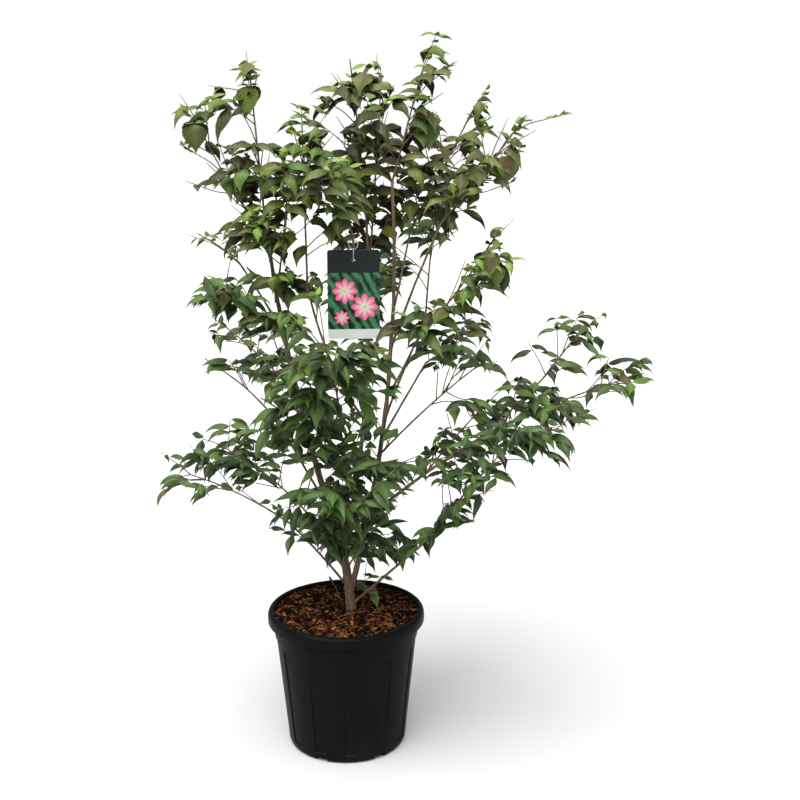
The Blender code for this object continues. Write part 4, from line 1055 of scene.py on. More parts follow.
class Mass:
    """One mass of foliage: its stem, twigs and leaves, grown within its reach."""

    def __init__(self, spray, points, paths, room, sizes):
        self.spray = spray
        self.paths = paths
        self.tips = []
        self.points = points
        self.room = room
        self.sizes = sizes
        self.rng = random.Random(f"growth of {spray.name}")
        self.leaves = []
        self.twigs = []
        self.guide = smooth_path(points, 0.02)

    def inside(self, verts):
        """Whether each point lies within the mass's reach of its stem, and within the solids' box."""
        reach = self.spray.reach
        low, high = CAD_BOX
        for vert in verts:
            if max(max(a - v, v - b) - room for a, v, b, room in zip(low, vert, high, BOX_ROOM)) > 0.0:
                return False
            if min((vert - point).length_squared for point in self.guide) > reach * reach:
                return False
        return True

    def youth_and_painted_light(self, node):
        """0 deep in the mass, where leaves are old and painted in shade, to 1 at its tip and upper side,
        where they are painted as lit.
        """
        spray = self.spray
        ahead = 1.0 - (node - self.points[-1]).length / (spray.length + 0.05)
        above = (node.z - self.points[0].z) / (spray.length + 0.05)
        return min(1.0, max(0.0, 0.55 * ahead + 0.45 * above + 0.10))

    def kind(self, young):
        """Which kind of leaf grows here."""
        draw = self.rng.random()
        tone = self.spray.tone
        if young and self.rng.random() < (0.85 if tone == "top" else 0.35):
            return "young"
        bronze = BRONZE.get(self.spray.name, BRONZE_ELSEWHERE[tone])
        if draw < bronze:
            return "bronze"
        if tone == "top":
            return "olive" if draw < bronze + (1 - bronze) * 0.75 else "mid"
        if tone == "mid":
            return "mid" if draw < 0.75 else "dark"
        return "dark" if draw < 0.78 else "mid"

    def add_leaf(self, node, way, side, size, pose=ARCHING, strict=True):
        """Tries a few near headings, and leaves the leaf out where none is clear."""
        rng = self.rng
        if pose is ARCHING:
            top = self.spray.tone == "top"
            pose, size = (DRAPED, size * DRAPED_SIZE) if top else (ARCHING, size * ARCHING_SIZE)
        for _ in range(TRIES):
            split = math.radians(rng.uniform(*pose.split))
            out = way * math.cos(split) + side * math.sin(split)
            azimuth = math.degrees(math.atan2(out.y, out.x)) + rng.uniform(-HEADING_SPREAD, HEADING_SPREAD)
            lift = math.degrees(math.asin(max(-1.0, min(1.0, out.z))))
            follow = 0.8 if pose in (UPRIGHT, UMBRELLA) else 0.45
            lift = max(-LEAF_LIFT, min(LEAF_LIFT, lift)) * follow + rng.uniform(*pose.rise)
            droop = rng.uniform(*pose.droop)
            out = heading(azimuth, lift)
            own_size = size * self.sizes.leaf_scale * rng.uniform(*LEAF_SPREAD)
            width = self.sizes.leaf_width * rng.uniform(*pose.width)
            shell = leaf_shell(node, out, own_size, droop * 0.75, width)
            if not self.inside(shell[0]) or in_opening(shell[0]) or not self.room.clear(shell, strict):
                continue
            self.room.settle(
                leaf_shell(node + out * own_size * 0.16, out, own_size * 0.80, droop * 0.75, width * 0.8)
            )
            self.leaves.append(
                Leaf(
                    node - out * LEAF_SINK,
                    out,
                    own_size,
                    math.radians(droop),
                    rng.uniform(*pose.curl),
                    width,
                    math.radians(rng.uniform(*pose.fold)),
                    math.radians(rng.uniform(-24, 24)),
                    rng.uniform(-0.12, 0.12),
                    # The own shade is random, and lower deep in the mass as painted shade
                    rng.random() ** (1.7 - 1.2 * self.youth_and_painted_light(node)),
                    self.kind(pose in (UPRIGHT, UMBRELLA)),
                )
            )
            return True
        return False

    def add_pair(self, node, way, roll, size, pose=ARCHING, strict=True):
        side = spoke(way, roll + self.rng.uniform(-ROLL_SPREAD, ROLL_SPREAD))
        self.add_leaf(node, way, side, size, pose, strict)
        self.add_leaf(node, way, -side, size, pose, strict)

    def add_side_shoot(self, shoot):
        """A bare-footed shoot with pairs on its outer half and a tuft at its end."""
        share, reach = shoot.percent / 100, shoot.millimetres / 1000
        node, _ = along(self.paths[shoot.limb] if shoot.limb else self.points, share)
        out = heading(shoot.azimuth + self.rng.uniform(-HEADING_SPREAD, HEADING_SPREAD), shoot.lift)
        end = node + out * reach
        middle = node.lerp(end, 0.5) + UP * reach * 0.07
        way = (end - middle).normalized()
        size, held = self.spray.leaf, 0.0
        before = len(self.leaves)
        if shoot.pose is ARCHING:
            for share, spot in ((0.5, middle), (0.75, middle.lerp(end, 0.5))):
                self.add_pair(spot, way, 160.0 * share - 80.0, size)
                held = share if len(self.leaves) > before else held
        inner = len(self.leaves)
        if shoot.pose is HANGING:
            self.add_pair(end, way, 0.0, size * 0.88, HANGING, False)
        else:
            self.add_pair(end, way, 0.0, size * (0.8 if shoot.pose is UPRIGHT else 1.0))
        self.add_shoot_tip(end, way, 0.0, size, 0.9)
        held = 1.0 if len(self.leaves) > inner else held
        if held:
            path = cut([node, middle, end], held)
            self.twigs.append(Twig(path, TWIG_RADIUS, TWIG_RADIUS * 0.7, 3, (0.5, 0.8)))
        return held > 0.0

    def add_sucker(self, sucker):
        """A thin shoot from the soil with a few small pairs."""
        foot = Vector((*sucker.foot, SOIL_CROWN - 0.003))
        way = heading(sucker.azimuth, sucker.lift)
        points = [foot, foot + way * sucker.length * 0.5 + UP * 0.002, foot + way * sucker.length]
        self.twigs.append(Twig(points, *SUCKER_RADII, sucker.pairs, (0.4, 0.7)))
        for index in range(sucker.pairs):
            node, _ = along(points, 0.38 + 0.62 * index / max(1, sucker.pairs - 1))
            self.add_pair(node, way, 20.0 + 80.0 * index, SUCKER_LEAF, UMBRELLA, False)
        self.add_leaf(points[-1], way, way.cross(UP), SUCKER_TIP_LEAF, UPRIGHT, False)

    def add_shoot_tip(self, node, way, roll, size, scale=1.0):
        """The small new pairs above a shoot's last node, and the bud leaf at its very tip."""
        level, _ = across(way)
        top = self.spray.tone == "top"
        tip = node + way * TIP_SPACING * (0.60 if top else 0.55) * scale
        if not self.inside([tip]) or any((tip - other).length < TIP_CLEARANCE for other in self.tips):
            return
        self.tips.append(tip)
        before = len(self.leaves)
        small = size * scale * (1.0 if top else 1.3)
        rows = ((0.05, 0.42, UMBRELLA), (0.55, 0.36, UPRIGHT), (1.0, 0.60, UMBRELLA))
        for part, share, pose in rows if top else ((0.45, 0.60, ARCHING), (1.0, 0.46, ARCHING)):
            roll += 90.0
            self.add_pair(node.lerp(tip, part), way, roll, small * share, pose, part < 0.5)
        self.add_leaf(tip, (way + UP).normalized(), level, size * 0.36 * scale, UPRIGHT, False)
        if scale < 1.0 and len(self.leaves) > before:
            self.twigs.append(Twig([node, tip], *TIP_RADII, 0, (1.0, 1.3)))

    def add_twig(self, node, way, side, size, leaf, order=1):
        """A side twig with its own pairs of leaves, and finer twigs at its nodes."""
        rng = self.rng
        for _ in range(TRIES):
            split = math.radians(SIDE_SPLIT + rng.uniform(-14, 8))
            out = (way * math.cos(split) + side * math.sin(split)).normalized()
            reach = size * rng.uniform(0.85, 1.1)
            rise = rng.uniform(0.15, 0.60) if self.spray.tone == "top" else rng.uniform(-0.10, 0.28)
            bend = (out + UP * rise).normalized()
            points = [node, node + out * reach * 0.5, node + (out + bend) * reach * 0.5]
            blocked = in_opening(points[1:]) or any(self.room.keep_out(point) for point in points)
            if self.inside(points) and not blocked:
                break
        else:
            return False
        foot = TWIG_RADIUS if order == 1 else TWIGLET_RADIUS
        age = 0.55 if order == 1 else 0.75
        spacing = self.sizes.twig_spacing * (1.22 if self.spray.tone == "top" else 0.96)
        count = max(1, round(reach * (1.0 - BARE_FOOT) / spacing))
        held = 0.0
        for index in range(count):
            before = len(self.leaves)
            share = BARE_FOOT + (1.0 - BARE_FOOT) * index / count
            spot, spot_way = along(points, share)
            if order == 1 and reach > 0.045 and rng.random() < TWIGLET_CHANCE:
                level, _ = across(spot_way)
                hand = level if rng.random() < 0.5 else -level
                self.add_twig(spot, spot_way, hand, reach * 0.5, leaf * 0.86, order=2)
                self.add_leaf(spot, spot_way, -hand, leaf)
            else:
                self.add_pair(spot, spot_way, 0.0, leaf)
            held = share if len(self.leaves) > before else held
        before = len(self.leaves)
        self.add_pair(points[-1], bend, 0.0, leaf * 0.95)
        if order == 1 and rng.random() < TIP_CHANCE[self.spray.tone]:
            self.add_shoot_tip(points[-1], bend, 90.0, leaf, 0.8)
        held = 1.0 if len(self.leaves) > before else held
        if held:
            self.twigs.append(Twig(cut(points, held), foot, foot * 0.7, count, (age, age + 0.3)))
        return held > 0.0

    def grow(self):
        spray, rng = self.spray, self.rng
        top = spray.tone == "top"
        count = max(2, round(spray.length / self.sizes.shoot_spacing))
        crosswise = spray.lift > STEEP
        roll = rng.uniform(0, 180) if crosswise else 0.0
        held = [0.4]
        for row in SIDE_SHOOTS.get(spray.name, ()):
            shoot = SideShoot(*row)
            if self.add_side_shoot(shoot) and not shoot.limb:
                held.append(shoot.percent / 100)
        for sucker in SUCKERS:
            if sucker.mass == spray.name:
                self.add_sucker(sucker)
        first, last = FIRST_NODE, 1.0 - TIP_SPACING / spray.length
        for index in range(count):
            share = first + (last - first) * index / (count - 1)
            node, way = along(self.points, share)
            side = spoke(way, roll + rng.uniform(-12, 12))
            size = spray.length * TWIG_SHARE * (1.0 - (1.05 if top else 0.75) * share) + 0.012
            size = min(size, spray.reach * 0.72)
            pose = HANGING if index == count - 1 and top else ARCHING
            before = len(self.leaves)
            for hand in (side, -side):
                if size > LEAST_TWIG and index < count - 1 and rng.random() < TWIG_CHANCE[spray.tone]:
                    if self.add_twig(node, way, hand, size, spray.leaf):
                        if rng.random() < 0.3:
                            self.add_leaf(node, way, hand, spray.leaf * 0.9)
                        continue
                self.add_leaf(node, way, hand, spray.leaf, pose)
            roll += 90.0 if crosswise else 0.0
            if len(self.leaves) > before:
                held.append(share)
        before = len(self.leaves)
        self.add_shoot_tip(node, way, roll, spray.leaf)
        end = 1.0 if len(self.leaves) > before else max(held)
        stem, nodes = cut(self.points, end), max(1, round(count * end))
        self.twigs.append(Twig(stem, SPRAY_FOOT_RADIUS, SPRAY_TIP_RADIUS, nodes, (0.35, 0.95)))


def twig_mesh(twig):
    """A shoot with swollen nodes."""
    step, sides = (0.007, 7) if twig.foot > TWIG_RADIUS else (0.009, 5)
    points = smooth_path(twig.points, step)
    last = len(points) - 1
    radii = []
    for index in range(last + 1):
        share = index / last
        radius = girth(twig, share)
        if twig.nodes:
            offset = abs((share * twig.nodes + 0.1) % 1.0 - 0.5)
            radius *= 1.0 + 0.16 * max(0.0, 1.0 - offset * 8)
        radii.append(radius)
    return tube(points, radii, sides, twig.age)


def leaf_blank():
    """A flat closed leaf in its own outline: x is the share across, y along, z below its face."""
    bm = bmesh.new()
    bmesh.ops.create_grid(bm, x_segments=4, y_segments=len(LEAF_OUTLINE) - 1, size=1.0)
    rows = len(LEAF_OUTLINE) - 1
    for vert in bm.verts:
        row = round((vert.co.y + 1.0) / 2.0 * rows)
        vert.co = Vector((vert.co.x, LEAF_OUTLINE[row][0], 0.0))
    print_layer = bm.loops.layers.uv.new("blade")
    under = bm.faces.layers.float.new("underside")
    for face in bm.faces:
        for loop in face.loops:
            loop[print_layer].uv = (loop.vert.co.x / 2 + 0.5, loop.vert.co.y)
    twin = bmesh.ops.duplicate(bm, geom=bm.faces)["geom"]
    lower = [part for part in twin if isinstance(part, bmesh.types.BMFace)]
    bmesh.ops.reverse_faces(bm, faces=lower)
    for face in lower:
        face[under] = 1.0
    for vert in {vert for face in lower for vert in face.verts}:
        if 0.0 < vert.co.y < 1.0:
            vert.co.z = -(1.0 - vert.co.x**2)
    return bm


def leaf_template():
    """The blank as a mesh, its rims and tip closed, and its coordinates as an array."""
    bm = leaf_blank()
    tip = [vert for vert in bm.verts if vert.co.y == 1.0]
    for vert in tip:
        vert.co.x = 0.0
    bmesh.ops.remove_doubles(bm, verts=bm.verts, dist=1e-5)
    under = bm.faces.layers.float["underside"]
    for edge in bm.edges:
        if len({round(face[under]) for face in edge.link_faces}) > 1:
            edge.smooth = False
    mesh = as_mesh("leaf_template", bm)
    coordinates = np.empty(len(mesh.vertices) * 3)
    mesh.vertices.foreach_get("co", coordinates)
    return mesh, coordinates.reshape(-1, 3)


def shape_leaf(blank, leaf, thickness):
    """Bends a blank: an arched rib, hanging halves, a wavy rim and a slight twist."""
    share_across, share_along, depth = blank.T
    steps = np.linspace(0.0, 1.0, 25)
    turn = np.clip(steps / leaf.curl, 0.0, 1.0)
    flick = 0.5 * np.clip(steps - 0.75, 0, 1) * math.sin(leaf.shade * 9)
    turn = leaf.droop * turn**1.2 * (1.4 - 0.4 * turn) + flick
    runs = (np.cos(turn), np.sin(turn))
    ahead, below = (np.concatenate(([0.0], np.cumsum((run[1:] + run[:-1]) / 2))) / 24 for run in runs)
    bend = np.interp(share_along, steps, turn)
    stations, widths = zip(*LEAF_OUTLINE)
    half = np.interp(share_along, stations, widths) * leaf.width / 2
    spread = np.abs(share_across) ** 1.25
    phase = leaf.shade * 20
    wave = np.sin(share_along * 10.5 + phase + np.sign(share_across) * 1.3) * 0.016 * share_across**2
    raised = wave * (half > 0.05) - spread * half * math.sin(leaf.fold) + depth * thickness / leaf.length
    sideways = share_across * half * math.cos(leaf.fold)
    roll = leaf.twist * share_along
    side_part = sideways * np.cos(roll) - raised * np.sin(roll) + leaf.swerve * share_along**2
    up_part = sideways * np.sin(roll) + raised * np.cos(roll)
    out, side, normal = (np.array(vector) for vector in (leaf.out, *leaf_sides(leaf.out)))
    forward = np.interp(share_along, steps, ahead) + up_part * np.sin(bend)
    upward = -np.interp(share_along, steps, below) + up_part * np.cos(bend)
    local = np.outer(forward, out) + np.outer(side_part, side) + np.outer(upward, normal)
    return np.array(leaf.root) + local * leaf.length


def leaf_mesh(template, blank, leaf, thickness):
    mesh = template.copy()
    mesh.vertices.foreach_set("co", shape_leaf(blank, leaf, thickness).ravel())
    return shade_faces(mesh, leaf.shade)


def pot_radius(height):
    return POT_BASE_RADIUS + POT_TAPER * height


def spin_round(bm, geom, steps):
    """Turns the geometry once round Z."""
    bmesh.ops.spin(bm, geom=geom, axis=UP, cent=(0, 0, 0), steps=steps, angle=math.tau, use_merge=True)
    bmesh.ops.remove_doubles(bm, verts=bm.verts, dist=1e-6)
    bmesh.ops.recalc_face_normals(bm, faces=bm.faces)


def spin_profile(profile, steps):
    """A solid turned round Z from a profile of (radius, height) that starts and ends on the axis."""
    bm = bmesh.new()
    verts = [bm.verts.new((0.0, -radius, height)) for radius, height in profile]
    edges = [bm.edges.new(pair) for pair in zip(verts, verts[1:])]
    spin_round(bm, verts + edges, steps)
    return bm


def wall_radius(height):
    """The wall's radius, with a proud band under the lip."""
    step = min(1.0, max(0.0, (height - BAND_FOOT) / 0.002 + 1.0))
    return WALL_FOOT + WALL_TAPER * height + BAND_PROUD * step


def face_angle(face):
    """The angle of a face's middle from the front towards +X, in degrees."""
    middle = face.calc_center_median()
    return math.degrees(math.atan2(middle.x, -middle.y)) % 360.0


def away(angle, other):
    return abs((angle - other + 180.0) % 360.0 - 180.0)


def pot_mesh(sizes):
    """Container with its rim turned over and down, panels pressed in and drain notches cut."""
    top = POT_HEIGHT
    lip_foot = top - RIM_HEIGHT
    shoulder = pot_radius(lip_foot)
    inner = RIM_RADIUS - LIP_THICKNESS
    foot = WALL_FOOT
    outside = [
        (0.0, 0.0), (POT_BASE_RADIUS - NOTCH_DEPTH, 0.0), (foot - 0.0088, 0.0), (foot - 0.0055, 0.0005),
        (foot - 0.0032, 0.0017), (foot - 0.0014, 0.0035), (foot - 0.0001, 0.0060),
    ]
    heights = (NOTCH_HEIGHT, PANEL_FOOT, 0.06, 0.11, 0.155, PANEL_TOP, BAND_FOOT - 0.002, BAND_FOOT, 0.222)
    outside += [(wall_radius(height), height) for height in heights]
    rim = [
        (shoulder, lip_foot), (shoulder + 0.0008, top - 0.0070), (inner - 0.0016, top - 0.0050),
        (inner, top - 0.0090), (inner, lip_foot + 0.0010), (inner + 0.0008, lip_foot),
    ]
    lip = [
        (0.0010, lip_foot), (0.0002, lip_foot + 0.0008), (0.0, lip_foot + 0.0030), (0.0, top - 0.0090),
        (0.0005, top - 0.0058), (0.0018, top - 0.0030), (0.0038, top - 0.0010), (0.0060, top),
        (0.0082, top), (0.0100, top - 0.0005), (0.0112, top - 0.0016), (0.0118, top - 0.0035),
    ]
    rim += [(RIM_RADIUS - inset, height) for inset, height in lip]
    inside = [
        (pot_radius(SOIL_EDGE) - POT_WALL, SOIL_EDGE), (pot_radius(POT_FLOOR) - POT_WALL, POT_FLOOR + 0.003),
        (pot_radius(POT_FLOOR) - POT_WALL - 0.003, POT_FLOOR), (0.0, POT_FLOOR),
    ]
    bm = spin_profile(outside + rim + inside, POT_STEPS)
    cut_notches(bm)
    press_panels(bm, sizes.panel_depth)
    turn = Matrix.Rotation(math.radians(PANEL_TURN - HALF_FACE), 3, "Z")
    bmesh.ops.rotate(bm, cent=(0, 0, 0), matrix=turn, verts=bm.verts)
    return bm


def press_panels(bm, depth):
    """Twelve tall panels, each a group of wall faces set back with a sloping border."""
    half = HALF_FACE * PANEL_FACES
    for index in range(PANEL_COUNT):
        middle = HALF_FACE + index * 360.0 / PANEL_COUNT
        faces = []
        for face in bm.faces:
            heights = [vert.co.z for vert in face.verts]
            centre = face.calc_center_median()
            if min(heights) < PANEL_FOOT - 1e-5 or max(heights) > PANEL_TOP + 1e-5:
                continue
            if centre.xy.length > wall_radius(centre.z) - 0.0012 and away(face_angle(face), middle) < half:
                faces.append(face)
        bmesh.ops.inset_region(
            bm, faces=faces, thickness=0.0016, depth=-depth, use_even_offset=True, use_boundary=True
        )


def cut_notches(bm):
    """Drain notches through the foot: its faces go, and a back wall, ceiling and cheeks close each."""
    half = HALF_FACE * NOTCH_FACES
    for index in range(NOTCH_COUNT):
        middle = HALF_FACE + (index + 0.5) * 360.0 / NOTCH_COUNT
        gone = []
        for face in bm.faces:
            heights = [vert.co.z for vert in face.verts]
            radii = [vert.co.xy.length for vert in face.verts]
            if max(heights) < NOTCH_HEIGHT + 1e-5 and min(radii) > POT_BASE_RADIUS - NOTCH_DEPTH - 1e-5:
                if away(face_angle(face), middle) < half:
                    gone.append(face)
        bmesh.ops.delete(bm, geom=gone, context="FACES")
        rim = [edge for edge in bm.edges if edge.is_boundary]
        back = [e for e in rim if all(v.co.xy.length < POT_BASE_RADIUS - NOTCH_DEPTH + 1e-4 for v in e.verts)]
        ceiling = [e for e in rim if all(v.co.z > NOTCH_HEIGHT - 1e-5 for v in e.verts)]
        grown = bmesh.ops.extrude_edge_only(bm, edges=back)["geom"]
        raised = [part for part in grown if isinstance(part, bmesh.types.BMVert)]
        bmesh.ops.translate(bm, vec=(0, 0, NOTCH_HEIGHT), verts=raised)
        upper = [e for e in grown if isinstance(e, bmesh.types.BMEdge) and all(v in raised for v in e.verts)]
        bmesh.ops.bridge_loops(bm, edges=upper + ceiling)
        bmesh.ops.holes_fill(bm, edges=[edge for edge in bm.edges if edge.is_boundary], sides=0)
    bmesh.ops.recalc_face_normals(bm, faces=bm.faces)


def soil_level(radius, outer):
    """The even height of the soil, which rises to its crown."""
    rise = min(1.0, (outer - radius) / (outer - SOIL_SLOPE_END))
    return SOIL_EDGE + SOIL_LIFT + (SOIL_CROWN - SOIL_EDGE) * rise


def soil_bumps(x, y):
    """Broad and fine unevenness."""
    spot = Vector((x, y, 0.0))
    return noise.noise(spot * 60) * 0.0022 + noise.noise(spot * 190) * 0.0012


def soil_mesh():
    """The soil: the solid's profile with a finer, uneven top."""
    room = POT_WALL + GAP * 1.6
    profile = [(0.0, POT_FLOOR + GAP), (pot_radius(POT_FLOOR) - room - 0.004, POT_FLOOR + GAP)]
    profile += [(pot_radius(SOIL_EDGE - 0.003) - room, SOIL_EDGE - 0.003)]
    outer = pot_radius(SOIL_EDGE) - room - 0.001
    for ring in range(SOIL_RINGS):
        radius = outer * (1 - ring / SOIL_RINGS)
        profile.append((radius, soil_level(radius, outer)))
    profile.append((0.0, SOIL_CROWN))
    bm = spin_profile(profile, SOIL_STEPS)
    for vert in bm.verts:
        if vert.co.z > SOIL_EDGE and vert.co.xy.length < outer - 0.002:
            vert.co.z += soil_bumps(vert.co.x, vert.co.y)
    return bm, outer


def soil_height(x, y, outer):
    return soil_level(math.hypot(x, y), outer) + soil_bumps(x, y)


def chip_blanks():
    """A few irregular chips of a dozen or two faces."""
    blanks = []
    rng = random.Random("chip shapes")
    for _ in range(6):
        bm = bmesh.new()
        bmesh.ops.create_cube(bm, size=1.0)
        for vert in bm.verts:
            vert.co += Vector([rng.uniform(-0.16, 0.16) for _ in range(3)])
        corner = {"affect": "EDGES", "offset": 0.10, "segments": 1, "profile": 0.5, "material": -1}
        bmesh.ops.bevel(bm, geom=bm.edges[:], **corner)
        blanks.append(as_mesh("chip", bm))
    return blanks


def soil_spot(rng, outer):
    """A place on the soil, clear of the trunk."""
    while True:
        radius = outer * math.sqrt(rng.random()) * 0.985
        angle = rng.uniform(0, math.tau)
        x, y = radius * math.cos(angle), radius * math.sin(angle)
        if math.hypot(x - TRUNK_SPOT.x, y - TRUNK_SPOT.y) > TRUNK_CLEARANCE:
            return x, y, soil_height(x, y, outer)


def chip_meshes(count, outer):
    """Bark chips thrown on the soil, tan ones mostly in front."""
    rng = random.Random("bark chips")
    blanks = chip_blanks()
    meshes = []
    for _ in range(count):
        x, y, z = soil_spot(rng, outer)
        size = rng.uniform(*(CHIP_SIZES if rng.random() < SMALL_CHIP_SHARE else LARGE_CHIP_SIZES))
        wide, thick = size * rng.uniform(0.25, 0.6), size * rng.uniform(0.14, 0.32)
        turn = (
            Matrix.Rotation(rng.uniform(0, math.tau), 4, "Z")
            @ Matrix.Rotation(rng.gauss(0, 0.50), 4, "X")
            @ Matrix.Rotation(rng.gauss(0, 0.32), 4, "Y")
        )
        rise = size * 0.10 + rng.uniform(0, 0.0016)
        tan = 0.10 + 0.30 * max(0.0, noise.noise(Vector((x * 26, y * 26 + 3, 0.4))) + 0.30 - y * 5)
        shade = rng.betavariate(0.9, 3.2) + (rng.uniform(0.25, 0.8) if rng.random() < tan else 0.0)
        chip = blanks[rng.randrange(len(blanks))].copy()
        stretch = Matrix.Diagonal((size * 1.3, wide, thick, 1.0))
        chip.transform(Matrix.Translation((x, y, z + rise)) @ turn @ stretch)
        meshes.append(shade_faces(chip, min(1.0, shade)))
    return meshes


def fibre_meshes(count, outer):
    """Curled coir fibres."""
    rng = random.Random("coir fibres")
    meshes = []
    for _ in range(count):
        x, y, z = soil_spot(rng, outer * 0.95)
        angle = rng.uniform(0, math.tau)
        curl = rng.uniform(-0.9, 0.9)
        size = rng.uniform(*FIBRE_SIZES)
        radius = rng.uniform(*FIBRE_RADII)
        points = [Vector((x, y, z + 0.0022))]
        for step in range(4):
            angle += curl / 2
            ahead = Vector((math.cos(angle), math.sin(angle), 0.0)) * size / 4
            spot = points[-1] + ahead
            if spot.xy.length > outer * 0.97:
                break
            loop = 0.0022 * math.sin(step * 1.1) * rng.random()
            spot.z = soil_height(spot.x, spot.y, outer) + 0.0020 + loop
            points.append(spot)
        if len(points) > 2:
            meshes.append(shade_faces(tube(points, [radius] * len(points), 4), 0.30 + 0.7 * rng.random()))
    return meshes


def label_places(paths):
    """Where the ring, its loop and the card hang, as the solids have it."""
    bough = next(limb for limb in LIMBS if limb.name == "bough_tag")
    hold, way = along(paths["bough_tag"], RING_SHARE)
    rest = girth(bough, RING_SHARE) + GAP * 2 + RING_WIRE
    ring_axis = Vector((way.x, way.y, 0.0)).normalized()
    ring_middle = hold - UP * (RING_RADIUS - rest / max(0.3, math.cos(math.asin(way.z))))
    loop_height = (CARD_HOLE_DROP + CARD_HOLE_RADIUS) / 2
    loop_middle = ring_middle - UP * (RING_RADIUS + loop_height - RING_WIRE)
    loop_axis = Matrix.Rotation(math.radians(CARD_YAW), 3, "Z") @ Vector((1.0, 0.0, 0.0))
    card_top = loop_middle.z - loop_height + CARD_HOLE_DROP + CARD_HOLE_RADIUS * 0.35
    return Label(ring_middle, ring_axis, loop_middle, loop_axis, loop_height, card_top)


def ring_mesh(centre, axis, radius, wire, stretch=1.0):
    """A wire ring round an axis, lengthened upright by the stretch."""
    bm = bmesh.new()
    circle = bmesh.ops.create_circle(bm, segments=12, radius=wire)["verts"]
    bmesh.ops.rotate(bm, cent=(0, 0, 0), matrix=Matrix.Rotation(math.pi / 2, 3, "X"), verts=circle)
    bmesh.ops.translate(bm, vec=(radius, 0, 0), verts=circle)
    spin_round(bm, bm.verts[:] + bm.edges[:], 40)
    level, rise = across(axis.normalized())
    turn = Matrix((level, rise, axis.normalized())).transposed()
    for vert in bm.verts:
        spoke = Vector((vert.co.x, vert.co.y, 0.0)).normalized()
        vert.co.y += spoke.y * radius * (stretch - 1.0)
    bmesh.ops.transform(bm, matrix=Matrix.Translation(centre) @ turn.to_4x4(), verts=bm.verts)
    return as_mesh("ring", bm)


def card_object(label, material, bow):
    """The card: rounded corners, a punched hole, and a slight bow from head to foot."""
    bm = bmesh.new()
    bmesh.ops.create_cube(bm, size=1.0)
    bmesh.ops.scale(bm, vec=CARD_SIZE, verts=bm.verts)
    upright = [edge for edge in bm.edges if abs(edge.verts[0].co.y - edge.verts[1].co.y) > 1e-5]
    bmesh.ops.bevel(bm, geom=upright, affect="EDGES", offset=0.004, segments=5, profile=0.5, material=-1)
    card = new_object("label_card_printed", bm, material)
    bm = bmesh.new()
    radius = CARD_HOLE_RADIUS
    bmesh.ops.create_cone(bm, cap_ends=True, segments=28, radius1=radius, radius2=radius, depth=0.01)
    bmesh.ops.rotate(bm, cent=(0, 0, 0), matrix=Matrix.Rotation(math.pi / 2, 3, "X"), verts=bm.verts)
    bmesh.ops.translate(bm, vec=(0.0, 0.0, CARD_SIZE.z / 2 - CARD_HOLE_DROP), verts=bm.verts)
    punch = new_object("card_punch", bm, material)
    hole = card.modifiers.new("hole", "BOOLEAN")
    hole.operation = "DIFFERENCE"
    hole.solver = "EXACT"
    hole.object = punch
    bpy.context.view_layer.update()
    with bpy.context.temp_override(object=card, active_object=card):
        bpy.ops.object.modifier_apply(modifier=hole.name)
    bpy.data.objects.remove(punch)

    bm = bmesh.new()
    bm.from_mesh(card.data)
    for strip in range(1, CARD_STRIPS):
        height = CARD_SIZE.z * (strip / CARD_STRIPS - 0.5)
        whole = bm.verts[:] + bm.edges[:] + bm.faces[:]
        bmesh.ops.bisect_plane(bm, geom=whole, dist=1e-6, plane_co=(0, 0, height), plane_no=UP)
    sheet = bm.loops.layers.uv.new("print")
    front = bm.faces.layers.float.new("front")
    for face in bm.faces:
        face[front] = 1.0 if face.normal.y < -0.5 else 0.0
        for loop in face.loops:
            co = loop.vert.co
            loop[sheet].uv = (co.x / CARD_SIZE.x + 0.5, co.z / CARD_SIZE.z + 0.5)
    for vert in bm.verts:
        vert.co.y += bow * ((vert.co.z / (CARD_SIZE.z / 2)) ** 2 - 0.35)
    lay = Matrix.Translation((label.loop_middle.x, label.loop_middle.y, label.card_top - CARD_SIZE.z / 2))
    turn = Matrix.Rotation(math.radians(CARD_YAW), 4, "Z")
    bmesh.ops.transform(bm, matrix=lay @ turn, verts=bm.verts)
    bm.to_mesh(card.data)
    bm.free()
    card.data.shade_smooth()
    card.data.set_sharp_from_angle(angle=math.radians(30))
    return card


def limb_paths():
    paths = {}
    for limb in LIMBS:
        paths[limb.name] = root_path(limb, paths)
    return paths


def solid_tree(*names):
    """The named solids of the frame as one tree for touch tests."""
    verts, faces = [], []
    for name in names:
        mesh = frame["nodes"][name].data
        base = len(verts)
        verts += [vert.co.copy() for vert in mesh.vertices]
        faces += [tuple(base + index for index in face.vertices) for face in mesh.polygons]
    return BVHTree.FromPolygons(verts, faces)


def label_keep_out(label):
    """A test for points in front of the card or close behind it, where nothing grows."""
    turn = Matrix.Rotation(-math.radians(CARD_YAW), 3, "Z")
    hang = Vector((label.loop_middle.x, label.loop_middle.y, label.card_top))
    eye = turn @ (SIGHT - hang)

    def test(point):
        local = turn @ (point - hang)
        seen = eye + (local - eye) * (eye.y / (eye.y - min(local.y, 0.0)))
        for spot in (local, seen):
            wide = abs(spot.x) < CARD_SIZE.x / 2 + 0.002
            high = -CARD_SIZE.z - 0.001 < spot.z < 0.010
            narrow = abs(spot.x) < 0.013 and -0.01 < spot.z < 0.034
            near = -0.008 < local.y < 0.008 if spot is local else local.y < 0.0
            if near and (wide and high or narrow):
                return True
        return False

    return test


class PieceOperator:
    """What every operator of this add-on shares"""

    bl_options = {"REGISTER", "UNDO"}

    def execute(self, context):
        self.build(context.scene.dogwood_sizes, context.scene.dogwood_colours)
        return {"FINISHED"}


class DOGWOOD_OT_pot(PieceOperator, bpy.types.Operator):
    """Build the black container with its panels and drain notches"""

    bl_idname = "dogwood.pot"
    bl_label = "Container"

    def build(self, sizes, colours):
        pot = new_object("container", pot_mesh(sizes), pot_finish(colours), 32)
        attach(pot, "root")
        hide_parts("pot")


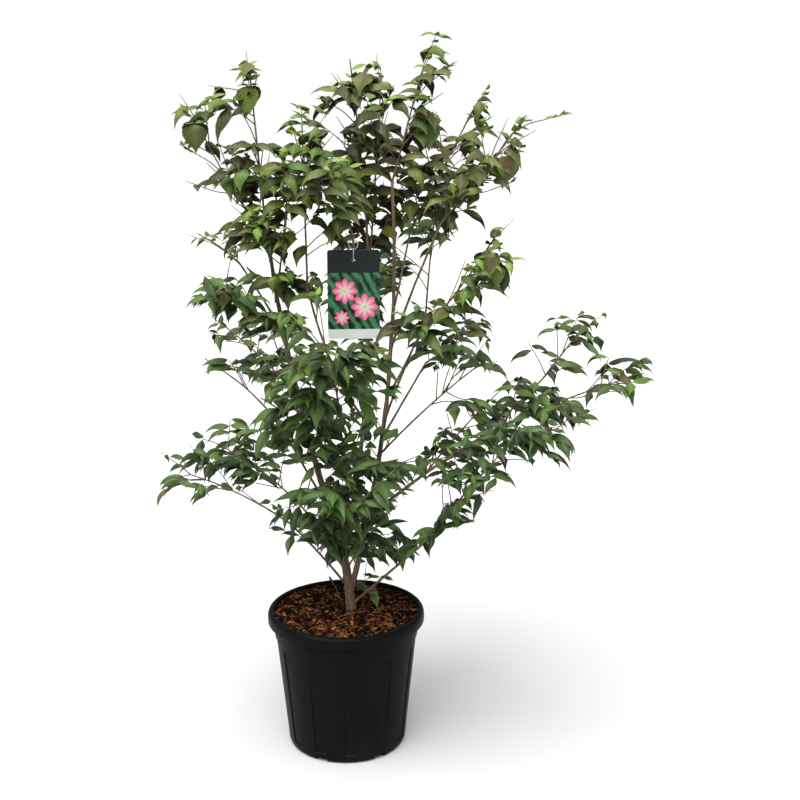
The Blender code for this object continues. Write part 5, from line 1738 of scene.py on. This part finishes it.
class DOGWOOD_OT_soil(PieceOperator, bpy.types.Operator):
    """Build the soil with its bark chips and coir fibres"""

    bl_idname = "dogwood.soil"
    bl_label = "Soil, chips and fibres"

    def build(self, sizes, colours):
        bm, outer = soil_mesh()
        ground = new_object("soil_ground", bm, soil_finish(colours), 80)
        bits, strands = chip_meshes(sizes.chip_count, outer), fibre_meshes(sizes.fibre_count, outer)
        chips = fuse("soil_chips", bits, chip_finish("chips", colours, colours.chip_tan), False)
        fibres = fuse("soil_fibres", strands, chip_finish("fibres", colours, colours.fibre))
        for piece in (ground, chips, fibres):
            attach(piece, "root")
            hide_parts("soil")


class DOGWOOD_OT_wood(PieceOperator, bpy.types.Operator):
    """Build the bark of the trunk, the stems and the boughs"""

    bl_idname = "dogwood.wood"
    bl_label = "Trunk, stems and boughs"

    def build(self, sizes, colours):
        noise.seed_set(WANDER_SEED)
        paths = limb_paths()
        for name, slot, step, sides, relief in (
            ("bark_stems", "trunk_bark", 0.0045, 18, 1.0),
            ("bark_boughs", "bough_bark", 0.006, 10, 0.4),
        ):
            boughs = slot == "bough_bark"
            limbs = [limb for limb in LIMBS if limb.name.startswith("bough") == boughs]
            meshes = []
            for limb in limbs:
                ages = BARK_AGES[limb.name.split("_")[0]]
                meshes.append(limb_mesh(limb, paths, step, sides, ages, sizes.bark_relief * relief))
            piece = fuse(name, meshes, bark_finish(name, colours))
            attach(piece, "root")
            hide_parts(*[limb.name for limb in limbs])


class DOGWOOD_OT_foliage(PieceOperator, bpy.types.Operator):
    """Grow twigs and leaves on every mass of foliage"""

    bl_idname = "dogwood.foliage"
    bl_label = "Twigs and leaves"

    def build(self, sizes, colours):
        paths = limb_paths()
        woods = [name for name in CAD_NODES if name.startswith(("trunk", "stem_", "bough_"))]
        solids = [solid_tree("pot", "soil"), solid_tree(*woods)]
        room = Room(solids, label_keep_out(label_places(paths)))
        leaves, twigs = defaultdict(list), []
        for spray in SPRAYS:
            mass = Mass(spray, root_path(spray, paths, SPRAY_STEP), paths, room, sizes)
            mass.grow()
            twigs += mass.twigs
            for leaf in mass.leaves:
                leaves[leaf.kind].append(leaf)
        nodes = [spray.name for spray in SPRAYS]
        shoots = fuse("twigs", [twig_mesh(twig) for twig in twigs], bark_finish("twig_bark", colours))
        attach(shoots, "root")
        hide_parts(*nodes)
        turning = [(olive * 2 + bronze) / 3 for olive, bronze in zip(colours.leaf_olive, colours.leaf_bronze)]
        # Each kind also gives how much of its face colour shows beneath, which darkens the underside as
        # painted shade
        kinds = {  # face, rim, how much of the face shows beneath, strength of the veins, slot
            "dark": (colours.leaf_dark, colours.leaf_dark, 0.45, 1.0, "leaf_low"),
            "mid": (colours.leaf_mid, colours.leaf_mid, 0.45, 1.0, "leaf_mid"),
            "olive": (colours.leaf_olive, turning, 0.45, 1.0, "leaf_top"),
            "bronze": (colours.leaf_bronze, colours.leaf_olive, 0.45, 1.0, "leaf_top"),
            "young": (colours.leaf_young, colours.leaf_young, 0.85, 0.3, "leaf_top"),
        }
        template, blank = leaf_template()
        for kind, (base, rim, painted_underside_shade, veined, slot) in kinds.items():
            under = tuple(painted_underside_shade * value + pale for value, pale in zip(base, UNDERSIDE))
            meshes = [leaf_mesh(template, blank, leaf, sizes.leaf_thickness) for leaf in leaves[kind]]
            finish = leaf_finish(f"leaf_{kind}", base, rim, under, colours, veined)
            piece = fuse(f"leaves_{kind}", meshes, finish)
            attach(piece, "root")
            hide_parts(*nodes)


class DOGWOOD_OT_label(PieceOperator, bpy.types.Operator):
    """Build the printed card with its ring and loop"""

    bl_idname = "dogwood.label"
    bl_label = "Label"

    def build(self, sizes, colours):
        label = label_places(limb_paths())
        card = card_object(label, card_finish(colours), sizes.card_bow)
        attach(card, "root")
        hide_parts("tag_card")
        slender = label.loop_height / LOOP_HALF_WIDTH
        rings = [
            ring_mesh(label.ring_middle, label.ring_axis, RING_RADIUS, RING_WIRE),
            ring_mesh(label.loop_middle, label.loop_axis, LOOP_HALF_WIDTH, LOOP_WIRE, slender),
        ]
        tie = fuse("label_ring", rings, tie_finish(colours))
        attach(tie, "root")
        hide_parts("tag_tie")


def light_sky(tree):
    """White at the skyline, dimmer above it, and a broad bright ceiling."""
    sky = tree.nodes["Background"]
    way = tree.nodes.new("ShaderNodeTexCoord")
    apart = tree.nodes.new("ShaderNodeSeparateXYZ")
    ramp = tree.nodes.new("ShaderNodeValToRGB")
    for place in (0.3, 0.6):
        ramp.color_ramp.elements.new(place)
    for element, (place, shade) in zip(ramp.color_ramp.elements, SKY):
        element.position = place
        element.color = (*[shade / SKY_STRENGTH] * 3, 1.0)
    tree.links.new(way.outputs["Generated"], apart.inputs[0])
    tree.links.new(apart.outputs["Z"], ramp.inputs["Fac"])
    tree.links.new(ramp.outputs["Color"], sky.inputs["Color"])
    sky.inputs["Strength"].default_value = SKY_STRENGTH


class DOGWOOD_OT_stage(PieceOperator, bpy.types.Operator):
    """Set up the pale floor, the soft lights, the sky and the camera"""

    bl_idname = "dogwood.stage"
    bl_label = "Stage"

    def build(self, sizes, colours):
        scene = bpy.context.scene
        bm = bmesh.new()
        bmesh.ops.create_grid(bm, x_segments=8, y_segments=8, size=12.0)
        bmesh.ops.translate(bm, vec=(0, 0, -0.0002), verts=bm.verts)
        floor = new_object("studio_floor", bm, floor_finish())
        world = bpy.data.worlds.new("studio")
        world.use_nodes = True
        light_sky(world.node_tree)
        scene.world = world
        key = bpy.data.lights.new("key", "SUN")
        key.energy = KEY_ENERGY
        key.angle = math.radians(KEY_ANGLE)
        fill = bpy.data.lights.new("fill", "AREA")
        fill.size = FILL_SIZE
        fill.energy = FILL_ENERGY
        for lamp, spot in ((key, KEY_SPOT), (fill, FILL_SPOT)):
            made = bpy.data.objects.new(lamp.name, lamp)
            made.location = spot
            made.rotation_euler = (LIGHT_AIM - Vector(spot)).to_track_quat("-Z", "Y").to_euler()
            scene.collection.objects.link(made)
        lens = bpy.data.cameras.new("camera")
        lens.sensor_width = SENSOR_WIDTH
        lens.lens = SENSOR_WIDTH * FOCAL_LENGTH / PICTURE_WIDTH
        camera = bpy.data.objects.new("camera", lens)
        camera.location = SIGHT
        camera.rotation_euler = (math.radians(90.0 - SIGHT_PITCH), 0.0, 0.0)
        scene.collection.objects.link(camera)
        scene.camera = camera
        scene.view_settings.view_transform = "Standard"


class DOGWOOD_PT_panel(bpy.types.Panel):
    """Buttons and settings of the potted dogwood"""

    bl_idname = "DOGWOOD_PT_panel"
    bl_label = "Potted Dogwood"
    bl_space_type = "VIEW_3D"
    bl_region_type = "UI"
    bl_category = "Dogwood"

    def draw(self, context):
        for operator in OPERATORS:
            self.layout.operator(operator.bl_idname)
        for group in (context.scene.dogwood_sizes, context.scene.dogwood_colours):
            box = self.layout.box()
            for name in group.__annotations__:
                box.prop(group, name)


OPERATORS = (
    DOGWOOD_OT_pot,
    DOGWOOD_OT_soil,
    DOGWOOD_OT_wood,
    DOGWOOD_OT_foliage,
    DOGWOOD_OT_label,
    DOGWOOD_OT_stage,
)
CLASSES = (DogwoodSizes, DogwoodColours, *OPERATORS, DOGWOOD_PT_panel)


def register():
    for cls in CLASSES:
        bpy.utils.register_class(cls)
    bpy.types.Scene.dogwood_sizes = PointerProperty(type=DogwoodSizes)
    bpy.types.Scene.dogwood_colours = PointerProperty(type=DogwoodColours)


def unregister():
    del bpy.types.Scene.dogwood_colours
    del bpy.types.Scene.dogwood_sizes
    for cls in reversed(CLASSES):
        bpy.utils.unregister_class(cls)


def main():
    register()
    bpy.ops.dogwood.stage()
    bpy.ops.dogwood.pot()
    bpy.ops.dogwood.soil()
    bpy.ops.dogwood.wood()
    bpy.ops.dogwood.foliage()
    bpy.ops.dogwood.label()


if __name__ == "__main__":
    main()
